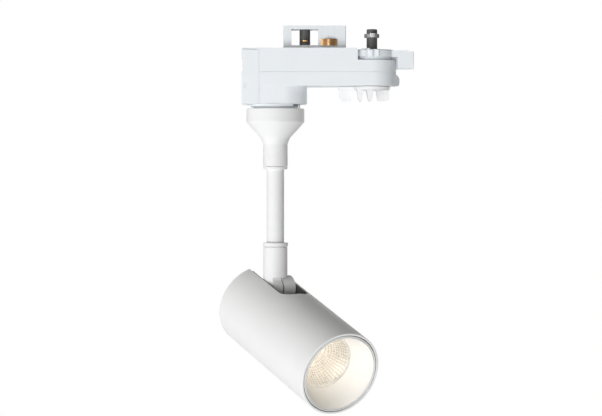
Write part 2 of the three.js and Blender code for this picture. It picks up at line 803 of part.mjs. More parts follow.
// A parabolic bowl: the square of its radius grows evenly along the axis.
function reflector() {
  const { reflectorRear, reflectorRearRadius, reflectorWall, baffleRear, baffleRearRadius } = optic;
  const front = baffleRear - 0.4;
  const rows = 6;
  const inside = [];
  for (let i = 0; i <= rows; i += 1) {
    const share = i / rows;
    const radius = Math.sqrt(
      THREE.MathUtils.lerp(reflectorRearRadius ** 2, (baffleRearRadius - 0.2) ** 2, share),
    );
    inside.push([radius, THREE.MathUtils.lerp(reflectorRear, front, share)]);
  }
  const outside = inside.map(([radius, x]) => [radius + reflectorWall, x]).reverse();
  const flange = [
    [24.5, front],
    [24.5, front - 1],
    [outside[0][0], front - 1],
  ];
  return turnedAlongX([...inside, ...flange, ...outside.slice(1), inside[0]], ROUND.medium);
}

const sinkBack = 49.5;
const sinkFront = 53.5;
const led = { back: sinkFront + CLEAR, boardThickness: 1.2, boardHalf: 9, radius: 5.2 };

function ledEmitter() {
  const back = led.back + led.boardThickness + CLEAR;
  return axialRod(led.radius, [back, back + 0.9], ROUND.small);
}

function ledBoard() {
  const { back, boardThickness, boardHalf } = led;
  return block([back, back + boardThickness], [-boardHalf, boardHalf], [-boardHalf, boardHalf]);
}

// A plastic ring over the board's edges that holds it down on the heat sink.
function ledHolder() {
  const room = led.boardHalf + CLEAR;
  const whole = axialRod(15, [led.back, optic.reflectorRear - CLEAR], ROUND.medium);
  const boardRoom = block([sinkFront - BEYOND, led.back + 1.8], [-room, room], [-room, room]);
  return cut(whole, axialRod(led.radius + 1, [sinkFront - BEYOND, 60], ROUND.small), boardRoom);
}

function bracketScrewPlaces() {
  return [
    [6, 22],
    [6, 2],
  ];
}

function heatSink() {
  const base = axialRod(head.bore - 0.35, [sinkBack, sinkFront], ROUND.large);
  const inside = axialRod(head.bore - 1, [30, sinkFront], ROUND.large);
  const fins = [-24, -16, -8, 0, 8, 16, 24].map((y) => {
    const top = Math.abs(y) > 12 ? 14 : -1.5;
    return block([34, sinkBack + 1], [y - 1, y + 1], [-30, top]).intersect(inside);
  });
  const holes = bracketScrewPlaces().map(([y, z]) =>
    axialRod(1.5, [sinkBack - 1, sinkFront - 0.8], ROUND.tiny, y, z),
  );
  return cut(joined(base, ...fins), ...holes);
}

// The head's half of the knuckle: an ear at the slot, with an arm that runs forwards to the heat sink.
function tiltBracket() {
  const shift = -head.sideShift;
  const across = [knuckle.earInner + shift, knuckle.earOuter + shift];
  const armBottom = 13;
  const ear = crossRod(knuckle.earRadius, across, ROUND.large, 0, head.axisDrop);
  const armBack = -2; // the sleeve swings past behind this
  const web = block([armBack, knuckle.earRadius], across, [armBottom, head.axisDrop]);
  const arm = block([armBack, sinkBack - CLEAR], across, [armBottom, armBottom + 3.5]);
  const foot = block([sinkBack - 2.8, sinkBack - CLEAR], [-2, 13], [-1, 25.5]);
  const boltHole = crossRod(knuckle.boltHole, [-20, 30], ROUND.small, 0, head.axisDrop);
  const nutSink = crossRod(knuckle.nutSink, [across[1] - 3.2, 30], ROUND.small, 0, head.axisDrop);
  const holes = bracketScrewPlaces().map(([y, z]) => axialRod(1.7, [40, 60], ROUND.tiny, y, z));
  return cut(joined(ear, web, arm, foot), boltHole, nutSink, ...holes);
}

function bracketScrew([y, z]) {
  const under = sinkBack - 2.8 - 0.1;
  return joined(
    axialRod(2.6, [under - 1.8, under], ROUND.tiny, y, z),
    axialRod(1.2, [under - 1, sinkFront - 1.2], ROUND.tiny, y, z),
  );
}

// A dark lining in the slot: a floor that hides the driver, and a lip that follows the slot's edge.
function slotLiner() {
  const [back, floorBottom, floorTop, wall, gap] = [-20.5, 10, 11.2, 0.6, 0.25];
  const full = prism(slotOutline(back, gap), [floorBottom, head.radius], 6);
  const room = prism(slotOutline(back - BEYOND, gap + wall), [floorTop, head.radius + BEYOND], 6);
  const underSkin = axialRod(head.radius - 0.4, [back - 1, head.slotFront + 1], ROUND.large);
  const armGap = block([head.slotFront - 12, head.slotFront + BEYOND], [0.4, 10.8], [12.7, 16.9]);
  return cut(full.intersect(underSkin), room, armGap);
}

function driverCase() {
  const wall = 1.5;
  const [back, front, halfWidth, bottom, top] = [-16, 30, 20, -20, 8];
  return cut(
    block([back, front], [-halfWidth, halfWidth], [bottom, top]),
    block([back + wall, front - wall], [wall - halfWidth, halfWidth - wall], [bottom + wall, top + BEYOND]),
  );
}

function driverBoard() {
  const boardTop = -13.4;
  const foot = boardTop - 0.2; // the components stand a little way into the board
  const bare = block([-13, 27], [-17, 17], [boardTop - 1.6, boardTop]);
  const transformer = block([-10, 6], [-12, 4], [foot, 2]);
  const filter = block([10, 22], [-4, 10], [foot, -2]);
  const capacitor = rod(4, [foot, 4], ROUND.tiny, 17, -11);
  return joined(bare, transformer, filter, capacitor);
}

const rearScrewPlaces = [
  [-21, -8],
  [21, -8],
];

function rearCap() {
  const { rear, bore } = head;
  const [back, front] = [rear + 0.6, rear + 2.8];
  const notch = block([rear - BEYOND, front + BEYOND], [-head.slotHalfWidth, head.slotHalfWidth], [12.4, 40]);
  const holes = rearScrewPlaces.map(([y, z]) => axialRod(1.7, [rear - 1, front + 1], ROUND.tiny, y, z));
  return cut(axialRod(bore - 0.35, [back, front], ROUND.large), notch, ...holes);
}

function rearScrew([y, z]) {
  const back = head.rear + 0.5;
  return joined(
    axialRod(2.6, [back - 1.3, back], ROUND.tiny, y, z),
    axialRod(1.3, [back - 1, back + 5], ROUND.tiny, y, z),
  );
}

// ---------------------------------------------------------------- cables

function cable(curve, steps) {
  const section = new THREE.Shape();
  section.absarc(0, 0, stem.cableRadius, 0, 2 * Math.PI, false);
  return solid(
    new THREE.ExtrudeGeometry(section, { steps, curveSegments: 8, extrudePath: curve, bevelEnabled: false }),
  );
}

function adaptorLead() {
  const route = new THREE.CubicBezierCurve3(
    new THREE.Vector3(25.6, 0, -22),
    new THREE.Vector3(10, 0, -22),
    new THREE.Vector3(0, 0, -20),
    new THREE.Vector3(0, 0, -29.7),
  );
  return cable(route, 12);
}

function stemCable() {
  const [top, bottom] = [new THREE.Vector3(0, 0, stem.cableTop), new THREE.Vector3(0, 0, stem.cableBottom)];
  return cable(new THREE.LineCurve3(top, bottom), 1);
}

// ---------------------------------------------------------------- assembly

function buildAdaptor() {
  const group = new THREE.Group();
  place(group, 'upper_housing', upperHousing(), whitePlastic);
  place(group, 'lower_housing', lowerHousing(), whitePlastic);
  place(group, 'end_cap', endCap(), whitePlastic);
  place(group, 'end_catch', endCatch(), whitePlastic);
  screwPlaces.forEach((spot, i) => {
    place(group, `housing_screw_${i + 1}`, housingScrew(spot), platedSteel);
  });
  place(group, 'contact_tower', contactTower(), whitePlastic);
  place(group, 'earth_contact_front', earthContact(-1), copper);
  place(group, 'earth_contact_back', earthContact(1), copper);
  place(group, 'terminal_block', terminalBlock(), blackPlastic);
  place(group, 'adaptor_lead', adaptorLead(), cableGrey);
  place(group, 'pan_spacer', panSpacer(), whitePlastic);
  place(group, 'pan_washer', panWasher(), platedSteel);
  place(group, 'pan_stop_pin', panStopPin(), platedSteel);
  return group;
}

function buildLock() {
  const group = new THREE.Group();
  place(group, 'lock_lever', lockLever(), whitePlastic);
  place(group, 'lock_rotor', lockRotor(), blackPlastic);
  place(group, 'locking_lug', lockingLug(), platedSteel);
  place(group, 'lock_crank', crank(lever.x), platedSteel);
  place(group, 'link_bar', linkBar(), platedSteel);
  place(group, 'rear_rotor', rearRotor(), blackPlastic);
  place(group, 'rear_crank', crank(rotor.rearX), platedSteel);
  place(group, 'neutral_contact', neutralContact(), copper);
  place(group, 'phase_carrier', phaseCarrier(), blackPlastic);
  place(group, 'phase_contact', phaseContact(), copper);
  place(group, 'selector_knob', selectorKnob(), clearPlastic);
  place(group, 'selector_cam', selectorCam(), blackPlastic);
  return group;
}

function buildStem() {
  const { neckRadius, neckBottom, collar, lowerCollarTop, lowerCollar } = stem;
  const group = new THREE.Group();
  place(group, 'canopy_cup', cut(canopyCup(), grubHole(grub.upperZ)), whitePaint);
  place(group, 'threaded_nipple', threadedNipple(), platedSteel);
  place(group, 'suspension_nut', hexNut(nut.suspension), platedSteel);
  place(group, 'canopy_nut', hexNut(nut.canopy), platedSteel);
  place(group, 'upper_grub_screw', grubScrew(grub.upperZ), platedSteel);
  place(group, 'upper_collar', collarRing(neckRadius, neckBottom - 0.1, collar), whitePaint);
  place(group, 'stem_tube', stemTube(), whitePaint);
  place(group, 'stem_cable', stemCable(), cableGrey);
  place(group, 'lower_collar', collarRing(neckRadius + 0.4, lowerCollarTop, lowerCollar), whitePaint);

  const knuckleHalf = new THREE.Group();
  knuckleHalf.rotation.set(0, 0, degrees(head.pan));
  place(knuckleHalf, 'lower_sleeve', cut(lowerSleeve(), grubHole(grub.lowerZ)), whitePaint);
  place(knuckleHalf, 'lower_grub_screw', grubScrew(grub.lowerZ), platedSteel);
  place(knuckleHalf, 'tilt_bolt', tiltBolt(), platedSteel);
  place(knuckleHalf, 'tilt_washer', tiltWasher(), blackPlastic);
  place(knuckleHalf, 'tilt_nut', tiltNut(), platedSteel);
  group.add(knuckleHalf);
  return group;
}

function buildHead() {
  const onTiltAxis = new THREE.Group();
  onTiltAxis.position.set(0, 0, knuckle.z);
  onTiltAxis.rotation.set(0, degrees(head.tilt), degrees(head.pan), 'ZYX');
  const group = new THREE.Group();
  group.position.set(0, head.sideShift, -head.axisDrop);
  onTiltAxis.add(group);

  place(group, 'head_tube', headTube(), whitePaint);
  place(group, 'front_bezel', frontBezel(), whitePaint);
  place(group, 'baffle', baffle(), whiteOptic);
  place(group, 'reflector', reflector(), mirror);
  place(group, 'led_emitter', ledEmitter(), phosphor);
  place(group, 'led_board', ledBoard(), bareAluminium);
  place(group, 'led_holder', ledHolder(), whitePlastic);
  place(group, 'heat_sink', heatSink(), bareAluminium);
  place(group, 'tilt_bracket', tiltBracket(), whitePaint);
  bracketScrewPlaces().forEach((spot, i) => {
    place(group, `bracket_screw_${i + 1}`, bracketScrew(spot), platedSteel);
  });
  place(group, 'slot_liner', slotLiner(), blackPlastic);
  place(group, 'driver_case', driverCase(), blackPlastic);
  place(group, 'driver_board', driverBoard(), board);
  place(group, 'rear_cap', rearCap(), whitePaint);
  rearScrewPlaces.forEach((spot, i) => {
    place(group, `rear_cap_screw_${i + 1}`, rearScrew(spot), platedSteel);
  });
  return onTiltAxis;
}

spotlight.add(buildAdaptor(), buildLock(), buildStem(), buildHead());

export default spotlight;
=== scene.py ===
"""The looks of a white track spotlight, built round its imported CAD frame.

Shapes are drawn in millimetres, in the frame's own axes or in one of the two turned frames below,
and turned into metres when a piece is finished. A CAD node's own limits are read from the frame.
"""

import json
from math import acos, asin, cos, degrees, pi, radians, sin, sqrt, tan

import bmesh
import bpy
from mathutils import Matrix, Vector

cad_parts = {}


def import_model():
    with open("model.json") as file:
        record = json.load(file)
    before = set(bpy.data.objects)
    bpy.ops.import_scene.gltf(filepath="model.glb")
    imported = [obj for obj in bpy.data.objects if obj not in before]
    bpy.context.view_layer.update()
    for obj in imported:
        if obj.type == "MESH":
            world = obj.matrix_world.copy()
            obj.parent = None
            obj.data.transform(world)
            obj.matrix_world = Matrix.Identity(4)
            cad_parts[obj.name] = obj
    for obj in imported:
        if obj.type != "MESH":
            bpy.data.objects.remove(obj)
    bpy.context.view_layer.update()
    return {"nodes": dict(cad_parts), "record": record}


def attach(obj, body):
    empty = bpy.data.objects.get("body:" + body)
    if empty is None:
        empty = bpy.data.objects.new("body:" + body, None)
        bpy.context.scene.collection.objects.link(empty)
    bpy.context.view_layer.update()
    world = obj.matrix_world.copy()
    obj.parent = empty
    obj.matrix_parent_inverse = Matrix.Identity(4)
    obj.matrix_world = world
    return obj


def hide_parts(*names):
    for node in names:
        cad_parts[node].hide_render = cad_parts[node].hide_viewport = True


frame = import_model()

MM = 0.001
FINEST = 192  # sides of the head's turned pieces
FINE = 128  # sides of a large turned piece
MEDIUM = 64
SMALL = 32
BEYOND = 5  # how far a cutter reaches past what it cuts, in mm
THROUGH = 30  # how far out a cutter starts and ends when it passes right through, in mm
TINY = 1e-6
ROW = Matrix.Identity(4)  # the frame's own axes, with X along the track

SLOT_OF = {row["node"]: row["material_slot"] for row in frame["record"]["subparts"]}
BODY_OF = {
    node: body for body, nodes in frame["record"]["behaviour"]["bodies"].items() for node in nodes
}


# ---- places, read from the frame


def joint(name):
    return next(row for row in frame["record"]["behaviour"]["joints"] if row["name"] == name)


def vertices(node):
    return [v.co / MM for v in frame["nodes"][node].data.vertices]


def middle(node):
    points = vertices(node)
    return sum(points, Vector()) / len(points)


def axes(origin, x, y, z):
    """The matrix that carries a frame with these axes, at this origin, into the row frame."""
    turn = Matrix((x, y, z)).transposed().to_4x4()
    return Matrix.Translation(origin) @ turn


def span(node, place=ROW):
    """The lowest and highest corners of a CAD node, in mm, in a turned frame."""
    back = place.inverted()
    points = [back @ v for v in vertices(node)]
    low = Vector([min(p[k] for p in points) for k in range(3)])
    high = Vector([max(p[k] for p in points) for k in range(3)])
    return low, high


def box_centre(node, place=ROW):
    low, high = span(node, place)
    return (low + high) / 2


def numbered(name, count):
    return [f"{name}_{i}" for i in range(1, count + 1)]


UP = Vector((0, 0, 1))
TILT = joint("head_tilt")
PIVOT = Vector(TILT["pos_m"]) / MM
ACROSS = Vector(TILT["axis"]).normalized()
KNUCKLE = axes(PIVOT, ACROSS.cross(UP), ACROSS, UP)  # X forwards, Y along the tilt axis
AHEAD = (middle("front_bezel") - middle("led_emitter")).normalized()
HEAD_FOOT = middle("led_emitter") + (PIVOT - middle("led_emitter")).dot(AHEAD) * AHEAD
HEAD = axes(HEAD_FOOT, AHEAD, ACROSS, AHEAD.cross(ACROSS))  # X along the head, Y as in KNUCKLE
LEVER_X = joint("lever_turn")["pos_m"][0] / MM
REAR_X = joint("rear_cam_turn")["pos_m"][0] / MM
KNOB_X = joint("selector_turn")["pos_m"][0] / MM
HEAD_RADIUS = -span("head_tube", HEAD)[0].z
HEAD_BORE = HEAD_RADIUS - 1.5

HOUSING_SCREWS = numbered("housing_screw", 4)
BRACKET_SCREWS = numbered("bracket_screw", 2)
CAP_SCREWS = numbered("rear_cap_screw", 2)

ALONG_X = Matrix.Rotation(pi / 2, 4, "Y")  # lays a shape drawn about Z along X
ALONG_Y = Matrix.Rotation(-pi / 2, 4, "X")
UPRIGHT = Matrix.Rotation(pi / 2, 4, "X")  # stands an outline up: its own y becomes z


def at(x, y=0.0, z=0.0):
    return Matrix.Translation((x, y, z))


# ---- outlines


def circle(radius, sides):
    angles = [2 * pi * i / sides for i in range(sides)]
    return [(radius * cos(a), radius * sin(a)) for a in angles]


def polar(x, radius, angle):
    """The point at a distance from (x, 0), at an angle in degrees."""
    turn = radians(angle)
    return x + radius * cos(turn), radius * sin(turn)


def arc(x, y, radius, start, end, steps=24):
    """Points on an arc, from one angle in degrees to another."""
    angles = [radians(start + (end - start) * i / steps) for i in range(steps + 1)]
    return [(x + radius * cos(a), y + radius * sin(a)) for a in angles]


def filleted(corners, steps=4):
    """A closed outline of (x, y, radius) corners, each rounded by its radius."""
    outline = []
    for i, (x, y, radius) in enumerate(corners):
        corner = Vector((x, y))
        if radius <= 0:
            outline.append((x, y))
            continue
        before = Vector(corners[i - 1][:2]) - corner
        after = Vector(corners[(i + 1) % len(corners)][:2]) - corner
        half = before.angle(after) / 2
        longest = 0.49 * min(before.length, after.length)
        reach = min(radius / tan(half), longest)
        fitted = reach * tan(half)
        inward = (before.normalized() + after.normalized()).normalized()
        centre = corner + inward * fitted / sin(half)
        start = corner + before.normalized() * reach - centre
        end = corner + after.normalized() * reach - centre
        turn = start.angle(end)
        for k in range(steps + 1):
            share = k / steps
            of_start = start * sin((1 - share) * turn)
            of_end = end * sin(share * turn)
            outline.append(tuple(centre + (of_start + of_end) / sin(turn)))
    return outline


def rectangle(x0, x1, y0, y1, radius=0.0):
    return filleted([(x0, y0, radius), (x1, y0, radius), (x1, y1, radius), (x0, y1, radius)])


def round_ended(left, centre, half_width, corner=0.6):
    """A rectangle from the left, closed on the right by a half circle."""
    corners = [(left, half_width, corner), (left, -half_width, corner), (centre, 0, 0)]
    left_side = filleted(corners)[:-1]
    return left_side + arc(centre, 0, half_width, -90, 90, 48)


# ---- solids


def shape(mesh_maker, name="shape"):
    mesh = bpy.data.meshes.new(name)
    bmesh.ops.recalc_face_normals(mesh_maker, faces=mesh_maker.faces)
    mesh_maker.to_mesh(mesh)
    mesh_maker.free()
    piece = bpy.data.objects.new(name, mesh)
    bpy.context.scene.collection.objects.link(piece)
    return piece


def skinned(maker, rings):
    """Faces between each ring of points and the next. A ring may be one point, repeated."""
    for lower, upper in zip(rings, rings[1:]):
        for i in range(len(lower)):
            j = (i + 1) % len(lower)
            corners = list(dict.fromkeys([lower[i], lower[j], upper[j], upper[i]]))
            if len(corners) > 2:
                maker.faces.new(corners)


def turned(profile, sides=FINE, place=ROW):
    """A profile of (radius, height) turned about Z: closed, or from the axis back to the axis."""
    maker = bmesh.new()
    rings = []
    for radius, height in profile:
        if radius < TINY:
            rings.append([maker.verts.new((0, 0, height))] * sides)
        else:
            rings.append([maker.verts.new((x, y, height)) for x, y in circle(radius, sides)])
    if profile[0][0] > TINY:
        rings.append(rings[0])
    skinned(maker, rings)
    piece = shape(maker)
    piece.data.transform(place)
    return piece


def pin(radius, low, high, edges, sides=SMALL, place=ROW):
    """A solid round piece, with the radii of its low and its high edge."""
    profile = [(0, low, 0), (radius, low, edges[0]), (radius, high, edges[1]), (0, high, 0)]
    return turned(filleted(profile), sides, place)


def ring(bore, radius, low, high, edges, sides=FINE, place=ROW, steps=4):
    """A plain ring. The radii of its edges go round: low and high outside, high and low inside."""
    low_outer, high_outer, high_inner, low_inner = edges
    profile = [
        (bore, low, low_inner), (radius, low, low_outer), (radius, high, high_outer),
        (bore, high, high_inner),
    ]
    return turned(filleted(profile, steps), sides, place)


def raised(outline, low, high, place=ROW):
    """An outline in the XY plane, raised from one height to another."""
    maker = bmesh.new()
    bottom = [maker.verts.new((x, y, low)) for x, y in outline]
    top = [maker.verts.new((x, y, high)) for x, y in outline]
    maker.faces.new(list(reversed(bottom)))
    maker.faces.new(top)
    for i in range(len(outline)):
        j = (i + 1) % len(outline)
        maker.faces.new((bottom[i], bottom[j], top[j], top[i]))
    piece = shape(maker)
    piece.data.transform(place)
    return piece


def block(low, high, corner=0.0):
    return raised(rectangle(low[0], high[0], low[1], high[1], corner), low[2], high[2])


def rod(radius, low, high, x=0.0, y=0.0, sides=MEDIUM, place=ROW):
    return raised(arc(x, y, radius, 0, 360, sides)[:-1], low, high, place)


def crosswise(radius, low, high, z=0.0, sides=MEDIUM):
    """A rod along Y, at a height."""
    return rod(radius, low, high, 0, -z, sides, ALONG_Y)


def lengthwise(radius, low, high, y=0.0, z=0.0, sides=SMALL):
    """A rod along X."""
    return rod(radius, low, high, -z, y, sides, ALONG_X)


def applied(piece):
    """Turns a piece's modifiers into its mesh."""
    graph = bpy.context.evaluated_depsgraph_get()
    mesh = bpy.data.meshes.new_from_object(piece.evaluated_get(graph), depsgraph=graph)
    piece.modifiers.clear()
    piece.data = mesh
    return piece


def combined(piece, tools, operation):
    for tool in tools:
        boolean = piece.modifiers.new("boolean", "BOOLEAN")
        boolean.operation = operation
        boolean.solver = "EXACT"
        boolean.object = tool
        applied(piece)
        bpy.data.objects.remove(tool)
    return piece


def cut(piece, *tools):
    return combined(piece, tools, "DIFFERENCE")


def joined(piece, *others):
    return combined(piece, others, "UNION")


def softened(piece, width, segments=2, angle=30):
    """Rounds the edges that are sharper than an angle."""
    bevel = piece.modifiers.new("bevel", "BEVEL")
    bevel.width = width
    bevel.segments = segments
    bevel.limit_method = "ANGLE"
    bevel.angle_limit = radians(angle)
    bevel.use_clamp_overlap = True
    bevel.miter_outer = "MITER_ARC"
    return applied(piece)


def finished(piece, node, kind=None, place=ROW, slot=None, smooth=32, name=None):
    """Names a piece, puts it in the row frame in metres, and lets it stand for its CAD node."""
    slot = slot or SLOT_OF[node]
    piece.name = piece.data.name = name or f"{node}_{kind}"
    piece.data.transform(Matrix.Scale(MM, 4) @ place)
    piece.data.materials.clear()
    piece.data.materials.append(MATERIALS[slot])
    if smooth:
        piece.data.shade_smooth()
        piece.data.set_sharp_from_angle(angle=radians(smooth))
        weighted = piece.modifiers.new("weighted", "WEIGHTED_NORMAL")
        weighted.keep_sharp = True
        applied(piece)
    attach(piece, BODY_OF[node])
    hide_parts(node)
    return piece


# ---- materials

USEFUL = (0.3, 0.7)  # the part of a noise's range that it mostly keeps to
LED_GLOW = 34.0


class Nodes:
    """The nodes of a material or of the world."""

    def __init__(self, owner):
        owner.use_nodes = True
        self.tree = owner.node_tree

    def node(self, kind, **values):
        made = self.tree.nodes.new(kind)
        for key, value in values.items():
            if key in made.inputs:
                made.inputs[key].default_value = value
            else:
                setattr(made, key, value)
        return made

    def link(self, out, into):
        self.tree.links.new(out, into)


class Surface(Nodes):
    """A material's nodes, with object coordinates ready for its patterns."""

    def __init__(self, name, colour, roughness, metallic=0.0):
        self.material = bpy.data.materials.new(name)
        super().__init__(self.material)
        self.shader = self.tree.nodes["Principled BSDF"]
        self.set("Base Color", (*colour, 1))
        self.set("Roughness", roughness)
        self.set("Metallic", metallic)
        self.place = self.node("ShaderNodeTexCoord").outputs["Object"]

    def set(self, what, value):
        self.shader.inputs[what].default_value = value

    def noise(self, scale, detail=3.0, stretch=(1, 1, 1)):
        mapping = self.node("ShaderNodeMapping", Scale=stretch)
        self.link(self.place, mapping.inputs["Vector"])
        noise = self.node("ShaderNodeTexNoise", Scale=scale, Detail=detail)
        self.link(mapping.outputs["Vector"], noise.inputs["Vector"])
        return noise.outputs["Fac"]

    def spread(self, factor, low, high):
        """A factor's useful middle stretched from one value to another."""
        limits = {"From Min": USEFUL[0], "From Max": USEFUL[1], "To Min": low, "To Max": high}
        ranged = self.node("ShaderNodeMapRange", **limits)
        self.link(factor, ranged.inputs["Value"])
        return ranged.outputs["Result"]

    def two_colours(self, factor, first, second):
        ramp = self.node("ShaderNodeValToRGB")
        for stop, position, colour in zip(ramp.color_ramp.elements, USEFUL, (first, second)):
            stop.position = position
            stop.color = (*colour, 1)
        self.link(factor, ramp.inputs["Fac"])
        self.link(ramp.outputs["Color"], self.shader.inputs["Base Color"])

    def rough(self, factor, low, high):
        self.link(self.spread(factor, low, high), self.shader.inputs["Roughness"])

    def bump(self, factor, height, strength=1.0):
        bump = self.node("ShaderNodeBump", Strength=strength, Distance=height)
        self.link(factor, bump.inputs["Height"])
        self.link(bump.outputs["Normal"], self.shader.inputs["Normal"])


def tinted(colour, share):
    return tuple(min(1.0, c * share) for c in colour)


def grained(
    name, colour, roughness, tint, gloss, grain,
    metallic=0.0, specular=0.5, detail=(3, 3), brushed=(1, 1, 1),
):
    """A surface with three noises, each given by its scale and two numbers.

    tint: the darkest and lightest share of the colour; gloss: the lowest and highest roughness;
    grain: the height and strength of the bumps, which brushed stretches. detail: of the last two.
    """
    made = Surface(name, colour, roughness, metallic)
    made.set("Specular IOR Level", specular)
    scale, darkest, lightest = tint
    made.two_colours(made.noise(scale), tinted(colour, darkest), tinted(colour, lightest))
    scale, lowest, highest = gloss
    made.rough(made.noise(scale, detail[0]), lowest, highest)
    scale, height, strength = grain
    made.bump(made.noise(scale, detail[1], brushed), height, strength)
    return made


def adaptor_plastic(name):
    return grained(
        name, (0.85, 0.885, 0.92), 0.42, (45, 0.985, 1.01), (160, 0.46, 0.58),
        (2600, 0.00004, 0.35), specular=0.4, detail=(3, 2),
    )


def white_paint(name):
    """Powder coat: a fine orange peel over an even white."""
    return grained(
        name, (0.855, 0.855, 0.86), 0.55, (30, 0.99, 1.008), (220, 0.52, 0.64),
        (1500, 0.00006, 0.3), specular=0.35, detail=(3, 4),
    )


def clear_plastic(name):
    made = grained(
        name, (0.97, 0.97, 0.98), 0.4, (90, 0.97, 1.02), (240, 0.34, 0.5), (900, 0.00003, 0.3)
    )
    made.set("Transmission Weight", 0.22)
    made.set("IOR", 1.49)
    return made


def black_plastic(name):
    return grained(
        name, (0.1, 0.1, 0.097), 0.5, (120, 0.8, 1.3), (300, 0.42, 0.6), (2200, 0.00005, 0.5)
    )


def plated_steel(name):
    return grained(
        name, (0.6, 0.61, 0.62), 0.3, (260, 0.88, 1.1), (500, 0.22, 0.42), (1800, 0.00003, 0.4),
        metallic=1.0, detail=(4, 2), brushed=(1, 1, 6),
    )


def contact_copper(name):
    return grained(
        name, (0.72, 0.42, 0.2), 0.28, (200, 0.85, 1.12), (700, 0.2, 0.4), (1600, 0.00002, 0.4),
        metallic=1.0, detail=(3, 2), brushed=(8, 1, 1),
    )


def bare_aluminium(name):
    return grained(
        name, (0.62, 0.63, 0.64), 0.45, (150, 0.9, 1.08), (900, 0.38, 0.58), (1500, 0.00006, 0.5),
        metallic=1.0,
    )


def white_optic(name):
    """The matt white of the anti-glare baffle, a little warm."""
    return grained(
        name, (0.88, 0.862, 0.832), 0.55, (60, 0.985, 1.01), (260, 0.5, 0.64), (1900, 0.00003, 0.3)
    )


def reflector_film(name):
    """Metallised facets, faintly warm, with painted shade darkening the creases between them."""
    made = grained(
        name, (0.9, 0.885, 0.85), 0.3, (420, 0.97, 1.03), (800, 0.26, 0.36), (1200, 0.000004, 0.2),
        metallic=0.55,
    )
    haze = made.shader.inputs["Base Color"].links[0].from_socket
    # Painted shade: on the facets' borders the film's colour is multiplied by a dark warm brown.
    painted_crease_shade = made.node("ShaderNodeAttribute", attribute_name="painted_crease_shade")
    crease_shade_mix = made.node("ShaderNodeMix", data_type="RGBA", blend_type="MULTIPLY")
    crease_shade_mix.inputs["B"].default_value = (0.66, 0.6, 0.53, 1)
    made.link(painted_crease_shade.outputs["Fac"], crease_shade_mix.inputs["Factor"])
    made.link(haze, crease_shade_mix.inputs["A"])
    made.link(crease_shade_mix.outputs["Result"], made.shader.inputs["Base Color"])
    return made


def led_phosphor(name):
    """A lit chip-on-board LED: rows of dies that glow through their phosphor."""
    made = Surface(name, (0.95, 0.8, 0.42), 0.4)
    dies = made.node("ShaderNodeTexVoronoi", Scale=900.0)
    made.link(made.place, dies.inputs["Vector"])
    glow = made.spread(dies.outputs["Distance"], LED_GLOW, 0.8 * LED_GLOW)
    made.two_colours(dies.outputs["Distance"], (1.0, 0.9, 0.6), (0.95, 0.76, 0.36))
    made.set("Emission Color", (1.0, 0.92, 0.8, 1))
    made.link(glow, made.shader.inputs["Emission Strength"])
    return made


def circuit_board(name):
    colour = (0.04, 0.19, 0.09)
    made = Surface(name, colour, 0.4)
    tracks = made.node("ShaderNodeTexBrick", Scale=90.0)
    made.link(made.place, tracks.inputs["Vector"])
    made.two_colours(tracks.outputs["Fac"], colour, tinted(colour, 1.6))
    made.rough(made.noise(300), 0.3, 0.5)
    made.bump(tracks.outputs["Fac"], 0.00003, 0.4)
    return made


def cable_sheath(name):
    return grained(
        name, (0.68, 0.68, 0.67), 0.5, (160, 0.93, 1.05), (420, 0.44, 0.6), (1300, 0.00005, 0.4)
    )


MATERIALS = {
    maker.__name__: maker(maker.__name__).material
    for maker in (
        adaptor_plastic, white_paint, clear_plastic, black_plastic, plated_steel, contact_copper,
        bare_aluminium, white_optic, reflector_film, led_phosphor, circuit_board, cable_sheath,
    )
}


def dress_carried_nodes():
    """Gives every CAD node its procedural material, for those that stay in view."""
    for node, thing in frame["nodes"].items():
        thing.data.materials.clear()
        thing.data.materials.append(MATERIALS[SLOT_OF[node]])
        thing.data.shade_smooth()
        thing.data.set_sharp_from_angle(angle=radians(30))


# ---- adaptor

WALL = 1.8
EDGE = 0.15  # the small radius on the adaptor's moulded edges
SEAM_DEPTH = 0.3  # how deep a joint line goes before the lip behind it
SEAM_OPEN = 0.27  # how wide a joint line is
LEVER_POCKET = {"radius": 17.7, "left": 61.1, "floor": -8.9, "deck": 1.6}
LINE = {"top": -5.0, "bottom": -5.4, "depth": 0.15}  # the fine line along the upper housing
COLUMN_RADIUS = 4.0
STEM_HOLE = 5.3
SCREW_HEAD = 1.8  # the height of a housing screw's head
TOWER = {"half_width": 7.5, "flange": 1.6, "ledge": 3}  # the flange juts out by the ledge


def upper_housing():
    low, high = span("upper_housing")
    half = high.y
    end = high.x - half
    gap = 0.3
    radius, left, floor_top, deck = LEVER_POCKET.values()
    deck_under = floor_top - deck
    outside = raised(round_ended(low.x, end, half, 0.2), low.z, high.z)
    low_room = raised(round_ended(low.x + WALL, end, half - WALL), low.z - BEYOND, deck_under)
    high_room = cut(
        block((low.x + WALL, WALL - half, deck_under - 1), (left - WALL, half - WALL, -2)),
        rod(radius + WALL, deck_under - BEYOND, 0, LEVER_X, sides=FINE),
    )
    pocket = joined(
        rod(radius, floor_top, BEYOND, LEVER_X, sides=FINE),
        block((left, -THROUGH, floor_top), (high.x + BEYOND, THROUGH, BEYOND)),
    )
    tower_low, tower_high = span("contact_tower")
    tower_half = TOWER["half_width"] + gap
    tower_hole = block(
        (tower_low.x + TOWER["ledge"] - gap, -tower_half, -BEYOND),
        (tower_high.x + gap, tower_half, BEYOND),
    )
    column_hole = rod(COLUMN_RADIUS + gap, deck_under - BEYOND, 0, LEVER_X)
    piece = softened(cut(outside, low_room, high_room, pocket, tower_hole, column_hole), EDGE)
    for wall in (-half, half):
        line = block(
            (low.x + 1, wall - LINE["depth"], LINE["bottom"]),
            (left - 1.5, wall + LINE["depth"], LINE["top"]),
        )
        piece = cut(piece, line)
    finished(piece, "upper_housing", "shell")


